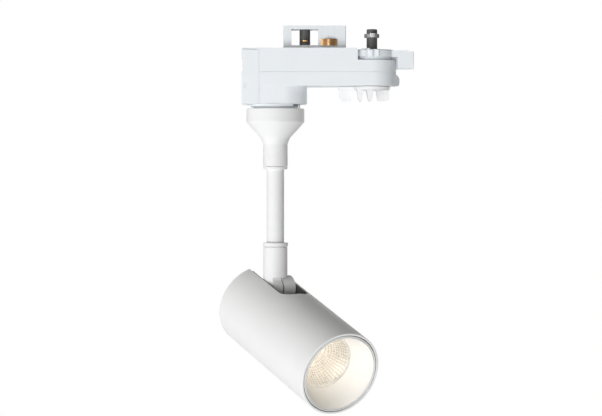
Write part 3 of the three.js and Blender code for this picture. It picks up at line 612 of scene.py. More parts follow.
def lower_housing():
    low, high = span("lower_housing")
    half = high.y
    end = high.x - half
    shallow_bottom = -28.0
    deep_end = 6.2
    floor_height = 2.4
    outside = joined(
        raised(round_ended(low.x, end, half, 0.2), shallow_bottom, high.z),
        raised(round_ended(low.x, deep_end, half, 0.2), low.z, high.z - 1),
    )
    seam_outline = round_ended(low.x + SEAM_DEPTH, end, half - SEAM_DEPTH)
    lip = raised(seam_outline, high.z - 1, high.z + SEAM_OPEN)
    shallow_outline = round_ended(low.x + WALL, end, half - WALL)
    shallow_room = raised(shallow_outline, shallow_bottom + WALL, high.z + BEYOND)
    deep_outline = round_ended(low.x + WALL, deep_end, half - WALL)
    deep_room = raised(deep_outline, low.z + floor_height, high.z)
    boss, head_room, shank_room = 4, 2.9, 1.45
    screw_rooms = []
    bosses = []
    for node in HOUSING_SCREWS:
        x, y, _ = box_centre(node)
        head_top = span(node)[0].z + SCREW_HEAD
        bottom = low.z if x < deep_end else shallow_bottom
        bosses.append(rod(boss, bottom + 1, high.z, x, y, SMALL))
        screw_rooms.append(rod(head_room, low.z - BEYOND, head_top, x, y, SMALL))
        screw_rooms.append(rod(shank_room, low.z, high.z + BEYOND, x, y, SMALL))
    stem_hole = rod(STEM_HOLE, low.z - BEYOND, low.z + BEYOND)
    knob_hole = rod(4.9, shallow_bottom - BEYOND, shallow_bottom + BEYOND, KNOB_X)
    hollow = cut(joined(outside, lip), shallow_room, deep_room)
    piece = cut(joined(hollow, *bosses), *screw_rooms, stem_hole, knob_hole)
    finished(softened(piece, EDGE), "lower_housing", "shell")


def end_cap():
    """The cap over the supply end, with a finger recess, slits and snap dimples."""
    low, high = span("end_cap")
    half = high.y
    inset = 0.15  # this joint is closed tighter than the housings' own
    recess, recess_bottom, recess_top = low.x + 0.8, -17, -7
    outside = block(low, high, 0.8)
    lip_end = high.x + SEAM_OPEN
    lip = block((high.x - 1, inset - half, low.z + inset), (lip_end, half - inset, high.z - inset))
    room = block(
        (low.x + WALL, WALL - half, low.z + WALL), (high.x + BEYOND, half - WALL, high.z - WALL)
    )
    corners = [
        (low.x - BEYOND, recess_bottom, 0), (recess, recess_bottom, 0.5),
        (recess, recess_top, 0.5), (low.x - BEYOND, recess_top, 0),
    ]
    grip = raised(filleted(corners), -half - 1, half + 1, UPRIGHT)
    piece = softened(cut(joined(outside, lip), room, grip), 0.25)
    details = []
    for wall in (-half, half):
        details.append(block((low.x - 1, wall - 0.2, -18.0), (high.x + 1, wall + 0.2, -17.6)))
        details.append(slit(low.x + 0.8, high.x - 1.4, wall, -1.0))
        details.append(snap_dimple(low.x + 3.2, wall, -28.4))
    finished(cut(piece, *details), "end_cap", "shell")


def slit(left, right, wall, z):
    """A cutter for a slit through a side wall, thin at the left and wider at the right."""
    outline = [(left, z - 0.15), (right, z - 0.65), (right, z + 0.15), (left, z + 0.15)]
    return raised(outline, -wall - WALL, -wall + WALL, UPRIGHT)


def snap_dimple(x, wall, z):
    """A cutter for the small V-shaped dimple over a snap hook."""
    outline = [(x - 1.6, z + 1.9), (x, z - 1.9), (x + 1.8, z + 1.9), (x + 0.2, z + 0.4)]
    return raised(outline, -wall - 0.9, -wall + 0.9, UPRIGHT)


def end_catch():
    """A springy catch, bent round the lever end."""
    low, high = span("end_catch")
    housing = span("upper_housing")[1]
    centre = housing.x - housing.y
    inner = housing.y + 0.3
    outer = high.x - centre
    profile = [
        (inner, low.z, 0.1), (outer - 0.9, low.z, 0.6), (outer, low.z + 2.2, 1.2),
        (outer - 0.1, high.z - 2.8, 1.2), (inner + 0.4, high.z, 0.2), (inner, high.z, 0.1),
    ]
    whole_ring = turned(filleted(profile, 6), FINEST, at(centre))
    root, tip = 35, 8  # degrees either side, where it leaves the wall and where it is thickest
    one_side = [(inner - BEYOND, root), (inner, root), (outer, tip)]
    both_sides = [(radius, -angle) for radius, angle in one_side] + one_side[::-1]
    plan = [polar(centre, radius, angle) for radius, angle in both_sides]
    piece = combined(whole_ring, [raised(plan, low.z - 1, high.z + 1)], "INTERSECT")
    finished(softened(piece, 0.3, 3, 50), "end_catch", "tongue")


def cross_screw(node, head_height, place=ROW):
    """A screw with a domed head, a cross recess and a plain shank. It points down its own axis."""
    low, high = span(node, place)
    sizes = high - low
    length = max(sizes)
    axis = list(sizes).index(length)
    radius = max(sizes[(axis + 1) % 3], sizes[(axis + 2) % 3]) / 2
    shank = 0.5 * radius
    dome = [
        (0, 0, 0), (shank, 0, 0.2), (shank, length - head_height, 0.1),
        (radius, length - head_height, 0.15),
        (radius * 0.98, length - head_height * 0.45, 0.6), (radius * 0.6, length, 0.8),
        (0, length, 0),
    ]
    arm, width, depth = 0.62 * radius, 0.17 * radius, 1.1
    piece = cut(
        turned(filleted(dome), SMALL),
        block((-arm, -width, length - depth), (arm, width, length + 1)),
        block((-width, -arm, length - depth), (width, arm, length + 1)),
    )
    foot = box_centre(node, place)
    foot[axis] = high[axis]
    turn = (ALONG_X, ALONG_Y, ROW)[axis] @ Matrix.Rotation(pi, 4, "X")
    piece.data.transform(at(*foot) @ turn)
    finished(piece, node, "head", place)


def contact_tower():
    """The tower in the track, open round the rear rotor and slit over its contacts."""
    low, high = span("contact_tower")
    half, flange, ledge = TOWER.values()
    left, wall, slit_depth = low.x + ledge, 1.6, 0.35
    body = block((left, -half, low.z), (high.x, half, high.z), 0.8)
    plate = block((low.x, low.y, low.z), (high.x, high.y, low.z + flange), 0.8)
    room = block(
        (left + wall, wall - half, low.z - BEYOND), (high.x - wall, half - wall, high.z - wall)
    )
    window = block((REAR_X - 10, -THROUGH, 2.4), (REAR_X + 10, THROUGH, 14.2))
    slits = [
        block((x, side - slit_depth, -0.5), (x + 1.2, side + slit_depth, high.z + 1))
        for x in (35.0, 39.5, 44.0)
        for side in (-half, half)
    ]
    piece = cut(joined(body, plate), room, window, *slits)
    finished(softened(piece, 0.4, 3), "contact_tower", "shell")


def earth_contacts():
    """A bowed leaf spring on each side of the tower."""
    steps, thickness = 24, 0.5
    for node in ("earth_contact_front", "earth_contact_back"):
        low, high = span(node)
        side = 1 if high.y > 0 else -1
        root, crest = sorted((abs(low.y), abs(high.y)))
        inner, outer = [], []
        for i in range(steps + 1):
            share = i / steps
            x = low.x + share * (high.x - low.x)
            lift = (crest - root - thickness) * sin(pi * share) ** 2
            inner.append((x, side * (root + lift)))
            outer.append((x, side * (root + lift + thickness)))
        piece = raised(inner + outer[::-1], low.z, high.z)
        finished(softened(piece, 0.12), node, "leaf")


def pan_spacer():
    """The ring between the adaptor and the cup, with a notch that ends the stop pin's way."""
    low, high = span("pan_spacer")
    radius, hub_radius = 18.5, 16.5
    collar_bottom = -43.3
    collar = ring(STEM_HOLE, radius, collar_bottom, high.z, (0.4, 0.2, 0.2, 0.2))
    notch = block((13.5, -20, collar_bottom - 1), (25, 0, high.z + BEYOND))
    hub = ring(STEM_HOLE, hub_radius, low.z, collar_bottom + 0.2, (0.3, 0, 0, 0.2))
    finished(joined(softened(cut(collar, notch), 0.15), hub), "pan_spacer", "ring")
    low, high = span("pan_stop_pin")
    x, y, _ = box_centre("pan_stop_pin")
    stop_pin = pin(0.8, low.z, high.z, (0.25, 0.1), place=at(x, y))
    finished(stop_pin, "pan_stop_pin", "round")


# ---- lock and selector


COLUMN_HOLE = COLUMN_RADIUS + 0.15
GRIP_ANGLES = (-111.3, -92.1, -75.2)  # round the lever's axis, in degrees
HOLLOW_ANGLES = (-101.5, -83.5)


def lock_lever():
    """The disc with its grips, and the paddle that stands off the end of the adaptor."""
    low, high = span("lock_lever")
    radius, bottom, top = 16.5, -6.5, -1.0
    skirt_radius, skirt_bottom = 14.5, -8.6
    half, wall = 8.0, 1.6
    paddle_inner, paddle_flat, paddle_top = 19.4, 18.7, -1.5
    profile = [
        (0, skirt_bottom, 0), (skirt_radius, skirt_bottom, 0.3),
        (skirt_radius, bottom, 0.2), (radius, bottom, 0.5), (radius, top - 0.8, 0.2),
        (radius - 0.5, top, 0.4), (0, top, 0),
    ]
    disc = turned(filleted(profile), place=at(LEVER_X))
    grips = [on_rim(1.45, radius - 0.65, angle, bottom + 0.3, top - 0.5) for angle in GRIP_ANGLES]
    hollows = [on_rim(1.3, radius + 0.3, angle, bottom - 1, top + 1) for angle in HOLLOW_ANGLES]
    indicator = block((LEVER_X - 8.3, -14, top - 1), (LEVER_X - 1.7, -9, high.z), 0.5)
    paddle_left = LEVER_X + paddle_inner
    neck = block((LEVER_X + radius - 4, -half, bottom), (paddle_left + 2, half, paddle_top))
    rib = block((LEVER_X + 12, -1, skirt_bottom), (paddle_left + 1, 1, bottom + 0.1))
    paddle = cut(
        block((LEVER_X + paddle_flat, -half, low.z), (high.x, half, paddle_top), 0.6),
        rod(paddle_inner, low.z - BEYOND, paddle_top + BEYOND, LEVER_X, sides=FINE),
        block((high.x - 4, -THROUGH, paddle_top - 0.8), (high.x + BEYOND, THROUGH, BEYOND)),
        block((LEVER_X + 21.5, wall - half, low.z - 1), (high.x - wall, half - wall, low.z + 7)),
    )
    bore = rod(COLUMN_HOLE, -THROUGH, THROUGH, LEVER_X)
    collar_room = rod(COLUMN_RADIUS + 1.9, -THROUGH, bottom, LEVER_X)
    piece = joined(cut(disc, *hollows), *grips, indicator, neck, rib, paddle)
    finished(softened(cut(piece, bore, collar_room), 0.25), "lock_lever", "paddle")


def on_rim(radius, reach, angle, bottom, top):
    """An upright rod on a circle about the lever's axis, at an angle in degrees."""
    x, y = polar(LEVER_X, reach, angle)
    return rod(radius, bottom, top, x, y, SMALL)


def lock_column():
    """The column with its collar and a driver slot, and the lug that locks in the track."""
    low, high = span("lock_rotor")
    collar_radius, collar_bottom, collar_top = high.y, -8.6, -6.8
    profile = [
        (0, low.z, 0), (COLUMN_RADIUS, low.z, 0.3), (COLUMN_RADIUS, collar_bottom, 0.1),
        (collar_radius, collar_bottom, 0.2), (collar_radius, collar_top, 0.2),
        (COLUMN_RADIUS, collar_top, 0.1), (COLUMN_RADIUS, high.z, 0.8), (0, high.z, 0),
    ]
    piece = turned(filleted(profile), MEDIUM, at(LEVER_X))
    driver_slot = block((LEVER_X - 3, -0.6, high.z - 1.2), (LEVER_X + 3, 0.6, high.z + 1))
    finished(cut(piece, driver_slot), "lock_rotor", name="lock_column")

    low, high = span("locking_lug")
    bar = block((LEVER_X - 2.6, low.y, low.z), (LEVER_X + 2.6, high.y, high.z), 1.2)
    hub = rod(COLUMN_RADIUS + 1.8, low.z, high.z, LEVER_X)
    lug = cut(joined(bar, hub), rod(COLUMN_HOLE, -THROUGH, THROUGH, LEVER_X))
    finished(softened(lug, 0.35, 3), "locking_lug", "bar")


def rear_cam():
    """The rear rotor, the two contact blades and the carrier that the phase blade rides in."""
    low, high = span("rear_rotor")
    column = pin(COLUMN_RADIUS, low.z, high.z, (0.3, 0.8), MEDIUM, at(REAR_X))
    flat = block((REAR_X - 10, 1.2, 1.8), (REAR_X + 10, 10, high.z + 1))
    blade_slot = block((REAR_X - 2.3, -10, 4.6), (REAR_X + 2.3, -1.6, 6.4))
    finished(softened(cut(column, flat, blade_slot), 0.15), "rear_rotor", "column")
    for node in ("neutral_contact", "phase_contact"):
        finished(softened(block(*span(node), 1.0), 0.2, 3), node, "blade")
    low, high = span("phase_carrier")
    blade_room = block(
        (low.x + 0.5, low.y + 1.3, low.z + 0.7), (high.x - 0.5, high.y + BEYOND, low.z + 2.5)
    )
    carrier = cut(block(low, high, 0.5), blade_room)
    finished(softened(carrier, 0.15), "phase_carrier", "block")


def selector_knob():
    """A milky dial: a shallow dish, a pointer arm and upright fins to turn it by."""
    low, high = span("selector_knob")
    top, bottom, radius = -28.3, -31.0, 14.2
    profile = [(0, bottom, 0), (radius - 1.2, bottom, 1.2), (radius, top, 0.4), (0, top, 0)]
    dish = turned(filleted(profile), place=at(KNOB_X))
    hub = rod(4.5, bottom, high.z, KNOB_X)
    arm = block((low.x, -1.8, bottom + 0.2), (KNOB_X, 1.8, top), 0.8)
    fins = [
        fin((low.x, 58.8, top), (low.x + 1.2, 56.6, low.z), 1.4),
        fin((74.5, 85.5, top - 1), (75.9, 84.6, low.z), 1.4),
        fin((60.5, 65.3, top - 1), (62.0, 64.4, low.z), 9.0),
        fin((67.4, 72.5, top - 1), (69.4, 72.1, low.z), 12.0),
    ]
    piece = joined(dish, hub, arm, *fins)
    finished(softened(piece, 0.3), "selector_knob", "dial")


def fin(root, foot, half):
    """An upright rib that narrows down to a rounded foot. Its ends are left, right and height."""
    corners = [
        (root[0], root[2], 0.3), (foot[0], foot[2], 1.5), (foot[1], foot[2], 1.5),
        (root[1], root[2], 0.3),
    ]
    return raised(filleted(corners, 6), -half, half, UPRIGHT)


# ---- stem


TUBE_SOCKET = 6.65  # the radius of the holes that the stem tube sits in
BOLT_HOLE = 2.8


def grub_hole(node, place=ROW):
    """A cutter for a grub screw's hole, open at the back."""
    low, high = span(node, place)
    return crosswise(1.75, low.y - 0.3, high.y + BEYOND, box_centre(node, place).z, SMALL)


def canopy_cup():
    low, high = span("canopy_cup")
    radius, wall = high.x, 1.8
    inside = radius - 2 * wall
    rim, cap_under = high.z - 0.8, high.z - 3.4
    band_bottom, neck_top, neck_bottom, socket_top = -54.1, -66.6, -71.0, -75.5
    neck, bore = 9.1, 5.15
    profile = [
        (bore, rim, 0.1), (radius - wall, rim, 0.2), (radius - wall, high.z, 0.2),
        (radius, high.z, 0.7), (radius, band_bottom - 0.6, 1.4),
        (neck + 1.6, neck_top, 7.0), (neck, neck_bottom, 3.0), (neck + 0.1, low.z, 0.35),
        (TUBE_SOCKET, low.z, 0.15), (TUBE_SOCKET, socket_top, 0.1), (bore, socket_top, 0.1),
        (bore, neck_top + 0.1, 0.3), (inside, band_bottom + 1, 1.0),
        (inside, cap_under, 0.5), (bore, cap_under, 0.1),
    ]
    piece = cut(turned(filleted(profile, 8)), grub_hole("upper_grub_screw"))
    finished(piece, "canopy_cup", "shell")


def collars():
    for node, edge in (("upper_collar", 0.55), ("lower_collar", 0.7)):
        low, high = span(node)
        edges = (edge, edge * 0.6, 0.15, 0.15)
        collar = ring(TUBE_SOCKET, high.x, low.z, high.z, edges, steps=5)
        finished(collar, node, "ring")


def stem_tube():
    low, high = span("stem_tube")
    tube = ring(5.2, high.x, low.z, high.z, (0.3, 0.3, 0.2, 0.2))
    finished(tube, "stem_tube", "round")


def grub_screws():
    """Headless screws with a hexagon socket, at the back of the two sleeves."""
    for node, place in (("upper_grub_screw", ROW), ("lower_grub_screw", KNUCKLE)):
        low, high = span(node, place)
        centre = box_centre(node, place)
        piece = cut(
            pin(1.6, low.y, high.y, (0.2, 0.25), place=ALONG_Y),
            crosswise(0.8, high.y - 0.8, high.y + 1, sides=6),
        )
        piece.data.transform(at(centre.x, 0, centre.z))
        finished(piece, node, "socket", place)


def lower_sleeve():
    """The sleeve under the tube, with the disc-shaped tongue and its round outer cheek."""
    top = span("lower_sleeve", KNUCKLE)[1].z
    radius = 9.0
    sleeve_bottom = 8.0  # above the tilt axis
    tongue_outer, tongue_inner = -6.2, 1.4
    relief = 11.2
    column = pin(radius, sleeve_bottom, top, (0.45, 0.35), FINE)
    line_top, line_bottom, line_radius = top - 0.45, top - 0.8, radius - 0.25
    line = turned(rectangle(line_radius, radius + 1, line_bottom, line_top))
    root = sqrt(radius**2 - tongue_outer**2) - 0.1
    shoulder = degrees(acos(root / radius))
    outline = arc(0, 0, radius, shoulder, -180 - shoulder, 96)
    outline += [(-root, sleeve_bottom + 1), (root, sleeve_bottom + 1)]
    tongue = softened(raised(outline, -tongue_inner, -tongue_outer, UPRIGHT), 0.25, 3, 40)
    cheek_edge = degrees(asin((-tongue_outer - 0.1) / radius))
    cheek_outline = arc(0, 0, radius, cheek_edge - 180, -cheek_edge, 48)
    cheek = raised(cheek_outline, -2, sleeve_bottom + 1)
    cable_hole, socket_bottom, nose_room = 3.0, 20.2, 4.4
    piece = cut(
        joined(column, tongue, cheek),
        line,
        crosswise(relief, tongue_inner, THROUGH, sides=FINE),
        rod(TUBE_SOCKET, socket_bottom, top + BEYOND),
        rod(cable_hole, 11.5, top),
        crosswise(BOLT_HOLE, -THROUGH, THROUGH),
        crosswise(nose_room, -THROUGH, tongue_outer + 3),
        grub_hole("lower_grub_screw", KNUCKLE),
    )
    finished(softened(piece, 0.2, 2, 40), "lower_sleeve", "tongue", KNUCKLE)


def tilt_bolt():
    """The bolt along the tilt axis, with its washer and nut."""
    low, high = span("tilt_bolt", KNUCKLE)
    head, shank, head_end = 4, 2.5, low.y + 2.5
    profile = [
        (0, low.y, 0), (head, low.y, 0.4), (head, head_end, 0.1), (shank, head_end, 0.1),
        (shank, high.y, 0.4), (0, high.y, 0),
    ]
    piece = turned(filleted(profile), MEDIUM, ALONG_Y)
    socket = crosswise(1.8, low.y - 1, low.y + 1.6, sides=6)
    finished(cut(piece, socket), "tilt_bolt", "cap_screw", KNUCKLE)
    low, high = span("tilt_washer", KNUCKLE)
    edges = (0.15, 0.15, 0.1, 0.1)
    washer = ring(BOLT_HOLE, high.x, low.y, high.y, edges, place=ALONG_Y)
    finished(washer, "tilt_washer", "disc", KNUCKLE)
    low, high = span("tilt_nut", KNUCKLE)
    hole = crosswise(shank + 0.15, -THROUGH, THROUGH, sides=SMALL)
    nut = cut(crosswise(4, low.y, high.y, sides=6), hole)
    finished(softened(nut, 0.25), "tilt_nut", "hexagon", KNUCKLE)


# ---- head


GROOVE_SEEN = 1.0  # how deep the groove round the front bezel is open, above the black ring of painted shade that fills the rest
SLOT = {"half_width": 11.8, "front": 30.0, "corner": 9.0}


def slot_outline(back, inset=0.0):
    half = SLOT["half_width"] - inset
    corner = SLOT["corner"] - inset
    start = SLOT["front"] - SLOT["corner"]
    return (
        [(back, -half)]
        + arc(start, corner - half, corner, -90, 0, 32)
        + arc(start, half - corner, corner, 0, 90, 32)
        + [(back, half)]
    )


def head_tube():
    low, high = span("head_tube", HEAD)
    edges = (0.35, 0.45, 0.2, 0.3)
    tube = ring(HEAD_BORE, HEAD_RADIUS, low.x, high.x, edges, FINEST, ALONG_X)
    slot = raised(slot_outline(low.x - BEYOND), 12, HEAD_RADIUS + BEYOND)
    piece = softened(cut(tube, slot), 0.25, 2, 50)
    finished(piece, "head_tube", "shell", HEAD, smooth=40)


def front_bezel():
    """The ring in the tube's mouth, and a black ring at the floor of the groove between the two:
    painted shade that makes the groove read dark.
    """
    low, high = span("front_bezel", HEAD)
    mouth = span("head_tube", HEAD)[1].x
    inner, outer, flange = 28.5, HEAD_BORE - 0.7, HEAD_BORE - 0.3
    step = mouth - 4
    profile = [
        (inner, low.x, 0.2), (flange, low.x, 0.2), (flange, step, 0.1), (outer, step, 0.05),
        (outer, high.x, 0.35), (inner, high.x, 0.25),
    ]
    bezel = turned(filleted(profile, 8), FINEST, ALONG_X)
    finished(bezel, "front_bezel", "ring", HEAD)
    # Painted shade: a black ring fills the groove from its floor up to GROOVE_SEEN below the
    # mouth, so the groove shows as a dark shadow line.
    gap = 0.02
    filling = rectangle(outer + gap, HEAD_BORE - gap, step + gap, mouth - GROOVE_SEEN, 0.05)
    groove_shade_ring = turned(filling, FINEST, ALONG_X)
    finished(groove_shade_ring, "front_bezel", "groove_shade_ring", HEAD, slot="black_plastic")


def baffle():
    """The white anti-glare cone, with a rolled lip at its front and a flange at its rear."""
    low, high = span("baffle", HEAD)
    front, rear, wall, lip = 27.6, 20.4, 0.8, 0.6
    flange_radius, flange_front, rear_end = high.z - 4.1, low.x + 1.4, low.x - 0.35
    profile = [
        (front, high.x, 0.35), (front + lip, high.x, 0.3), (front + lip, high.x - 0.8, 0.1),
        (front + 0.3, high.x - 1.2, 0.1), (rear + wall, flange_front, 0.1),
        (flange_radius, flange_front, 0.1), (flange_radius, low.x, 0.1),
        (rear + 0.6, low.x, 0.1), (rear + 0.6, rear_end, 0.1), (rear, rear_end, 0.2),
    ]
    finished(turned(filleted(profile, 6), FINEST, ALONG_X), "baffle", "cone", HEAD)


FACETS = {"columns": 46, "rows": 11, "cell": 6, "bulge": 0.36}  # a cell is a facet's own steps
BOWL = {"throat": 5.6, "mouth": 20.2, "flange": 24.5, "flange_thickness": 1.0, "rim": 1.4}


def bowl_radius(x, low, high):
    """A parabola: the square of the radius grows evenly along the axis."""
    share = (x - low) / (high - low)
    throat, mouth = BOWL["throat"], BOWL["mouth"]
    return sqrt(throat**2 + share * (mouth**2 - throat**2))


def reflector():
    """The bowl's inside is a grid of pillow facets, each bulging a little towards the axis."""
    low, high = span("reflector", HEAD)
    columns, rows, cell, bulge = FACETS.values()
    flange, flange_rear = BOWL["flange"], high.x - BOWL["flange_thickness"]
    bowl_length = high.x - BOWL["rim"] - low.x
    maker = bmesh.new()
    across, along = columns * cell, rows * cell
    rings = []
    for i in range(along + 1):
        share = (i / along) ** 0.9
        x = low.x + share * bowl_length
        row_bow = sin(pi * (i % cell) / cell)
        points = []
        for j, (y, z) in enumerate(circle(1, across)):
            bow = row_bow * sin(pi * (j % cell) / cell)
            radius = bowl_radius(x, low.x, high.x) - bulge * bow * (0.4 + 0.6 * share)
            points.append(maker.verts.new((x, radius * y, radius * z)))
        rings.append(points)
    outside = [(BOWL["mouth"], high.x), (flange, high.x), (flange, flange_rear)]
    outside.append((BOWL["mouth"] + 1.1, flange_rear))
    for i in range(8, -1, -1):
        x = low.x + i / 8 * bowl_length
        outside.append((bowl_radius(x, low.x, high.x) + 0.9, x))
    for radius, x in outside:
        rings.append([maker.verts.new((x, y, z)) for y, z in circle(radius, across)])
    skinned(maker, rings + rings[:1])
    piece = finished(shape(maker), "reflector", "facets", HEAD, smooth=None)
    mark_cells(piece, along, across, cell)


def mark_cells(piece, along, across, cell):
    """Marks the borders between facets: sharp edges, and points with a painted crease shade of 1,
    where the film's colour is darkened.
    """
    piece.data.shade_smooth()
    sharp = piece.data.attributes.new("sharp_edge", "BOOLEAN", "EDGE")
    for edge in piece.data.edges:
        (row, column), (other_row, other_column) = [divmod(v, across) for v in edge.vertices]
        on_ring = row == other_row and row % cell == 0
        on_column = column == other_column and column % cell == 0
        outside = max(row, other_row) > along
        sharp.data[edge.index].value = outside or on_ring or on_column
    # Painted shade: a mark of 1 on each border point darkens the film's colour there.
    painted_crease_shade = piece.data.attributes.new("painted_crease_shade", "FLOAT", "POINT")
    for point in piece.data.vertices:
        row, column = divmod(point.index, across)
        on_border = row < along and (row % cell == 0 or column % cell == 0)
        painted_crease_shade.data[point.index].value = float(on_border)


def led():
    low, high = span("led_emitter", HEAD)
    radius, top_radius = 5.2, 4.6
    profile = [
        (0, low.x, 0), (radius, low.x, 0.1), (radius, high.x - 0.2, 0.2),
        (top_radius, high.x, 0.2), (0, high.x, 0),
    ]
    finished(turned(filleted(profile), MEDIUM, ALONG_X), "led_emitter", "dome", HEAD)


def led_holder():
    low, high = span("led_holder", HEAD)
    bore, radius, seat_half = 6.2, 15, 9.3
    profile = [
        (bore, low.x, 0.1), (radius, low.x, 0.3), (radius, high.x, 0.6),
        (bore + 1, high.x, 0.6), (bore, high.x - 1, 0.2),
    ]
    seat = block((low.x - BEYOND, -seat_half, -seat_half), (low.x + 1.8, seat_half, seat_half))
    piece = softened(cut(turned(filleted(profile), MEDIUM, ALONG_X), seat), 0.15)
    finished(piece, "led_holder", "ring", HEAD)


def screw_holes(nodes, low, high):
    """Cutters along the head's axis for the holes of some screws."""
    centres = [box_centre(node, HEAD) for node in nodes]
    return [lengthwise(1.7, low, high, centre.y, centre.z) for centre in centres]


def tilt_bracket():
    """The ear beside the tongue, with the arm that carries it to the heat sink."""
    low, high = span("tilt_bracket", HEAD)
    pivot = HEAD.inverted() @ PIVOT
    near, far = pivot.y + 2.4, pivot.y + 12
    radius, back, arm_bottom, arm_top, foot_top = 9.5, -2.0, 13.0, 16.5, 25.5
    ear = crosswise(radius, near, far, pivot.z, FINE)
    web = block((back, near, arm_bottom), (radius, far, pivot.z))
    arm = block((back, near, arm_bottom), (high.x, far, arm_top))
    foot = block((high.x - 2.5, low.y, low.z), (high.x, high.y, foot_top), 1.0)
    piece = cut(
        joined(ear, web, arm, foot),
        crosswise(BOLT_HOLE, -THROUGH, THROUGH, pivot.z),
        crosswise(4.6, far - 3.2, THROUGH, pivot.z),
        *screw_holes(BRACKET_SCREWS, high.x - 2 * BEYOND, high.x + BEYOND),
    )
    finished(softened(piece, 0.35, 3, 40), "tilt_bracket", "ear", HEAD)


def slot_liner():
    """A dark lining: a floor over the driver, and a lip that follows the slot's edge."""
    low, high = span("slot_liner", HEAD)
    floor_top, wall, gap = 11.2, 0.6, 0.25
    skin = HEAD_RADIUS - 0.4
    full = raised(slot_outline(low.x, gap), low.z, skin)
    inside = lengthwise(skin, low.x - 1, high.x + 1, sides=FINE)
    lining = cut(
        combined(full, [inside], "INTERSECT"),
        raised(slot_outline(low.x - BEYOND, gap + wall), floor_top, skin + BEYOND),
        block((high.x - 12, 0.4, 12.7), (high.x + BEYOND, 10.8, 16.9)),
    )
    finished(softened(lining, 0.12), "slot_liner", "lip", HEAD)


def rear_cap():
    """The disc that closes the head, with a notch for the slot, two screw holes and four vents."""
    low, high = span("rear_cap", HEAD)
    half = SLOT["half_width"]
    before, behind = low.x - 1, high.x + 1
    disc = pin(-low.z, low.x, high.x, (0.6, 0.2), FINEST, ALONG_X)
    notch = block((low.x - BEYOND, -half, 12.4), (high.x + BEYOND, half, 40))
    vents = [
        lengthwise(1.0, before, behind, 9 * (i - 1.5), -14 - 3.6 * sin(2 * i))
        for i in range(4)
    ]
    piece = cut(disc, notch, *screw_holes(CAP_SCREWS, before, behind), *vents)
    finished(softened(piece, 0.3), "rear_cap", "disc", HEAD)


# ---- stage

FLOOR_DROP = 1.5  # how far below the track the floor lies, in metres
FLOOR_RADIUS = 8
FLOOR_GLOW = 0.15  # keeps the floor pale, as the soft lights are aimed at the object
CAMERA_AT = Vector((0.0191, -1.716, -0.1015))
FOCAL_IN_WIDTHS = 2300 / 602
HORIZON_RISE = 23 / 602  # the horizon above the middle of the picture, in picture widths


def floor():
    maker = bmesh.new()
    bmesh.ops.create_circle(maker, cap_ends=True, radius=FLOOR_RADIUS, segments=96)
    piece = shape(maker, "floor")
    piece.location.z = -FLOOR_DROP
    made = Surface("floor_paint", (0.85, 0.85, 0.85), 0.7)
    made.two_colours(made.noise(1.5), (0.84, 0.84, 0.84), (0.87, 0.87, 0.87))
    made.set("Emission Color", (1, 1, 1, 1))
    made.set("Emission Strength", FLOOR_GLOW)
    piece.data.materials.append(made.material)


LIT_FROM = 1.9  # how far the soft lights stand from the object, in metres
LIT_CENTRE = Vector((0.02, 0, -0.15))


def softbox(name, azimuth, elevation, size, power, colour=(1, 1, 1)):
    """A soft light, placed by degrees round from the camera's side and up from level."""
    light = bpy.data.lights.new(name, "AREA")
    light.shape = "RECTANGLE"
    light.size, light.size_y = size
    light.energy = power
    light.color = colour
    lamp = bpy.data.objects.new(name, light)
    bpy.context.scene.collection.objects.link(lamp)
    turn, rise = radians(azimuth), radians(elevation)
    level = cos(rise)
    outward = Vector((sin(turn) * level, -cos(turn) * level, sin(rise)))
    lamp.location = LIT_CENTRE + LIT_FROM * outward
    lamp.rotation_euler = outward.to_track_quat("Z", "Y").to_euler()


def lights():
    softbox("key", -21, -14, (1.9, 1.2), 27, (0.975, 0.985, 1))
    softbox("side", -85, -20, (0.9, 0.9), 5)
    softbox("below", -15, -65, (0.9, 0.9), 7)
    softbox("back", 165, 6, (1.8, 1.2), 13)


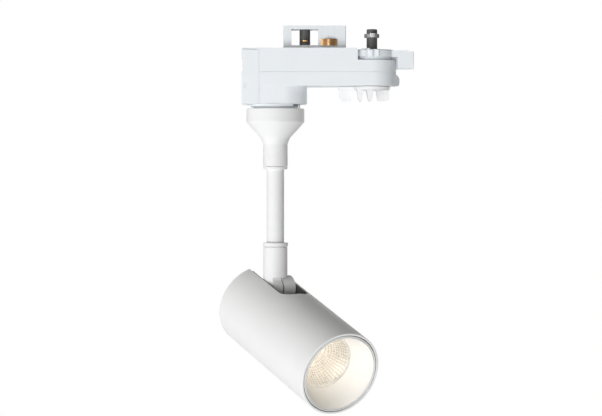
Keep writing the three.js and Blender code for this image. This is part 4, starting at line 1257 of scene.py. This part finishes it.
def world():
    """White to the camera, and to the object a soft room that is lighter on the left and below."""
    made = bpy.data.worlds.new("studio")
    sky = Nodes(made)
    sky.tree.nodes.clear()
    out = sky.node("ShaderNodeOutputWorld")
    mix = sky.node("ShaderNodeMixShader")
    seen = sky.node("ShaderNodeBackground", Color=(1, 1, 1, 1), Strength=1.0)
    room = sky.node("ShaderNodeBackground", Color=(1, 0.995, 0.94, 1))
    ray = sky.node("ShaderNodeLightPath")
    direction = sky.node("ShaderNodeTexCoord")
    dot = sky.node("ShaderNodeVectorMath", operation="DOT_PRODUCT")
    dot.inputs[1].default_value = Vector((-0.75, -0.35, -0.55)).normalized()
    strengths = {"From Min": -1, "To Min": 0.12, "To Max": 0.55}
    ramp = sky.node("ShaderNodeMapRange", **strengths)
    sky.link(direction.outputs["Generated"], dot.inputs[0])
    sky.link(dot.outputs["Value"], ramp.inputs["Value"])
    sky.link(ramp.outputs["Result"], room.inputs["Strength"])
    seen_or_through = sky.node("ShaderNodeMath", operation="MAXIMUM")
    sky.link(ray.outputs["Is Camera Ray"], seen_or_through.inputs[0])
    sky.link(ray.outputs["Is Transmission Ray"], seen_or_through.inputs[1])
    sky.link(seen_or_through.outputs["Value"], mix.inputs["Fac"])
    sky.link(room.outputs["Background"], mix.inputs[1])
    sky.link(seen.outputs["Background"], mix.inputs[2])
    sky.link(mix.outputs["Shader"], out.inputs["Surface"])
    bpy.context.scene.world = made


def camera():
    lens = bpy.data.cameras.new("camera")
    lens.sensor_width = 36
    lens.lens = FOCAL_IN_WIDTHS * lens.sensor_width
    lens.shift_y = -HORIZON_RISE
    lens.clip_end = 100
    thing = bpy.data.objects.new("camera", lens)
    thing.location = CAMERA_AT
    thing.rotation_euler = (pi / 2, 0, 0)
    bpy.context.scene.collection.objects.link(thing)
    bpy.context.scene.camera = thing


# ---- assembly

camera()
world()
lights()
floor()
bpy.context.scene.view_settings.view_transform = "Standard"

dress_carried_nodes()
upper_housing()
lower_housing()
end_cap()
end_catch()
for screw_node in HOUSING_SCREWS:
    cross_screw(screw_node, SCREW_HEAD)
contact_tower()
earth_contacts()
pan_spacer()
lock_lever()
lock_column()
rear_cam()
selector_knob()
canopy_cup()
collars()
stem_tube()
grub_screws()
lower_sleeve()
tilt_bolt()
head_tube()
front_bezel()
baffle()
reflector()
led()
led_holder()
tilt_bracket()
slot_liner()
rear_cap()
for screw_node in CAP_SCREWS:
    cross_screw(screw_node, 1.3, HEAD)
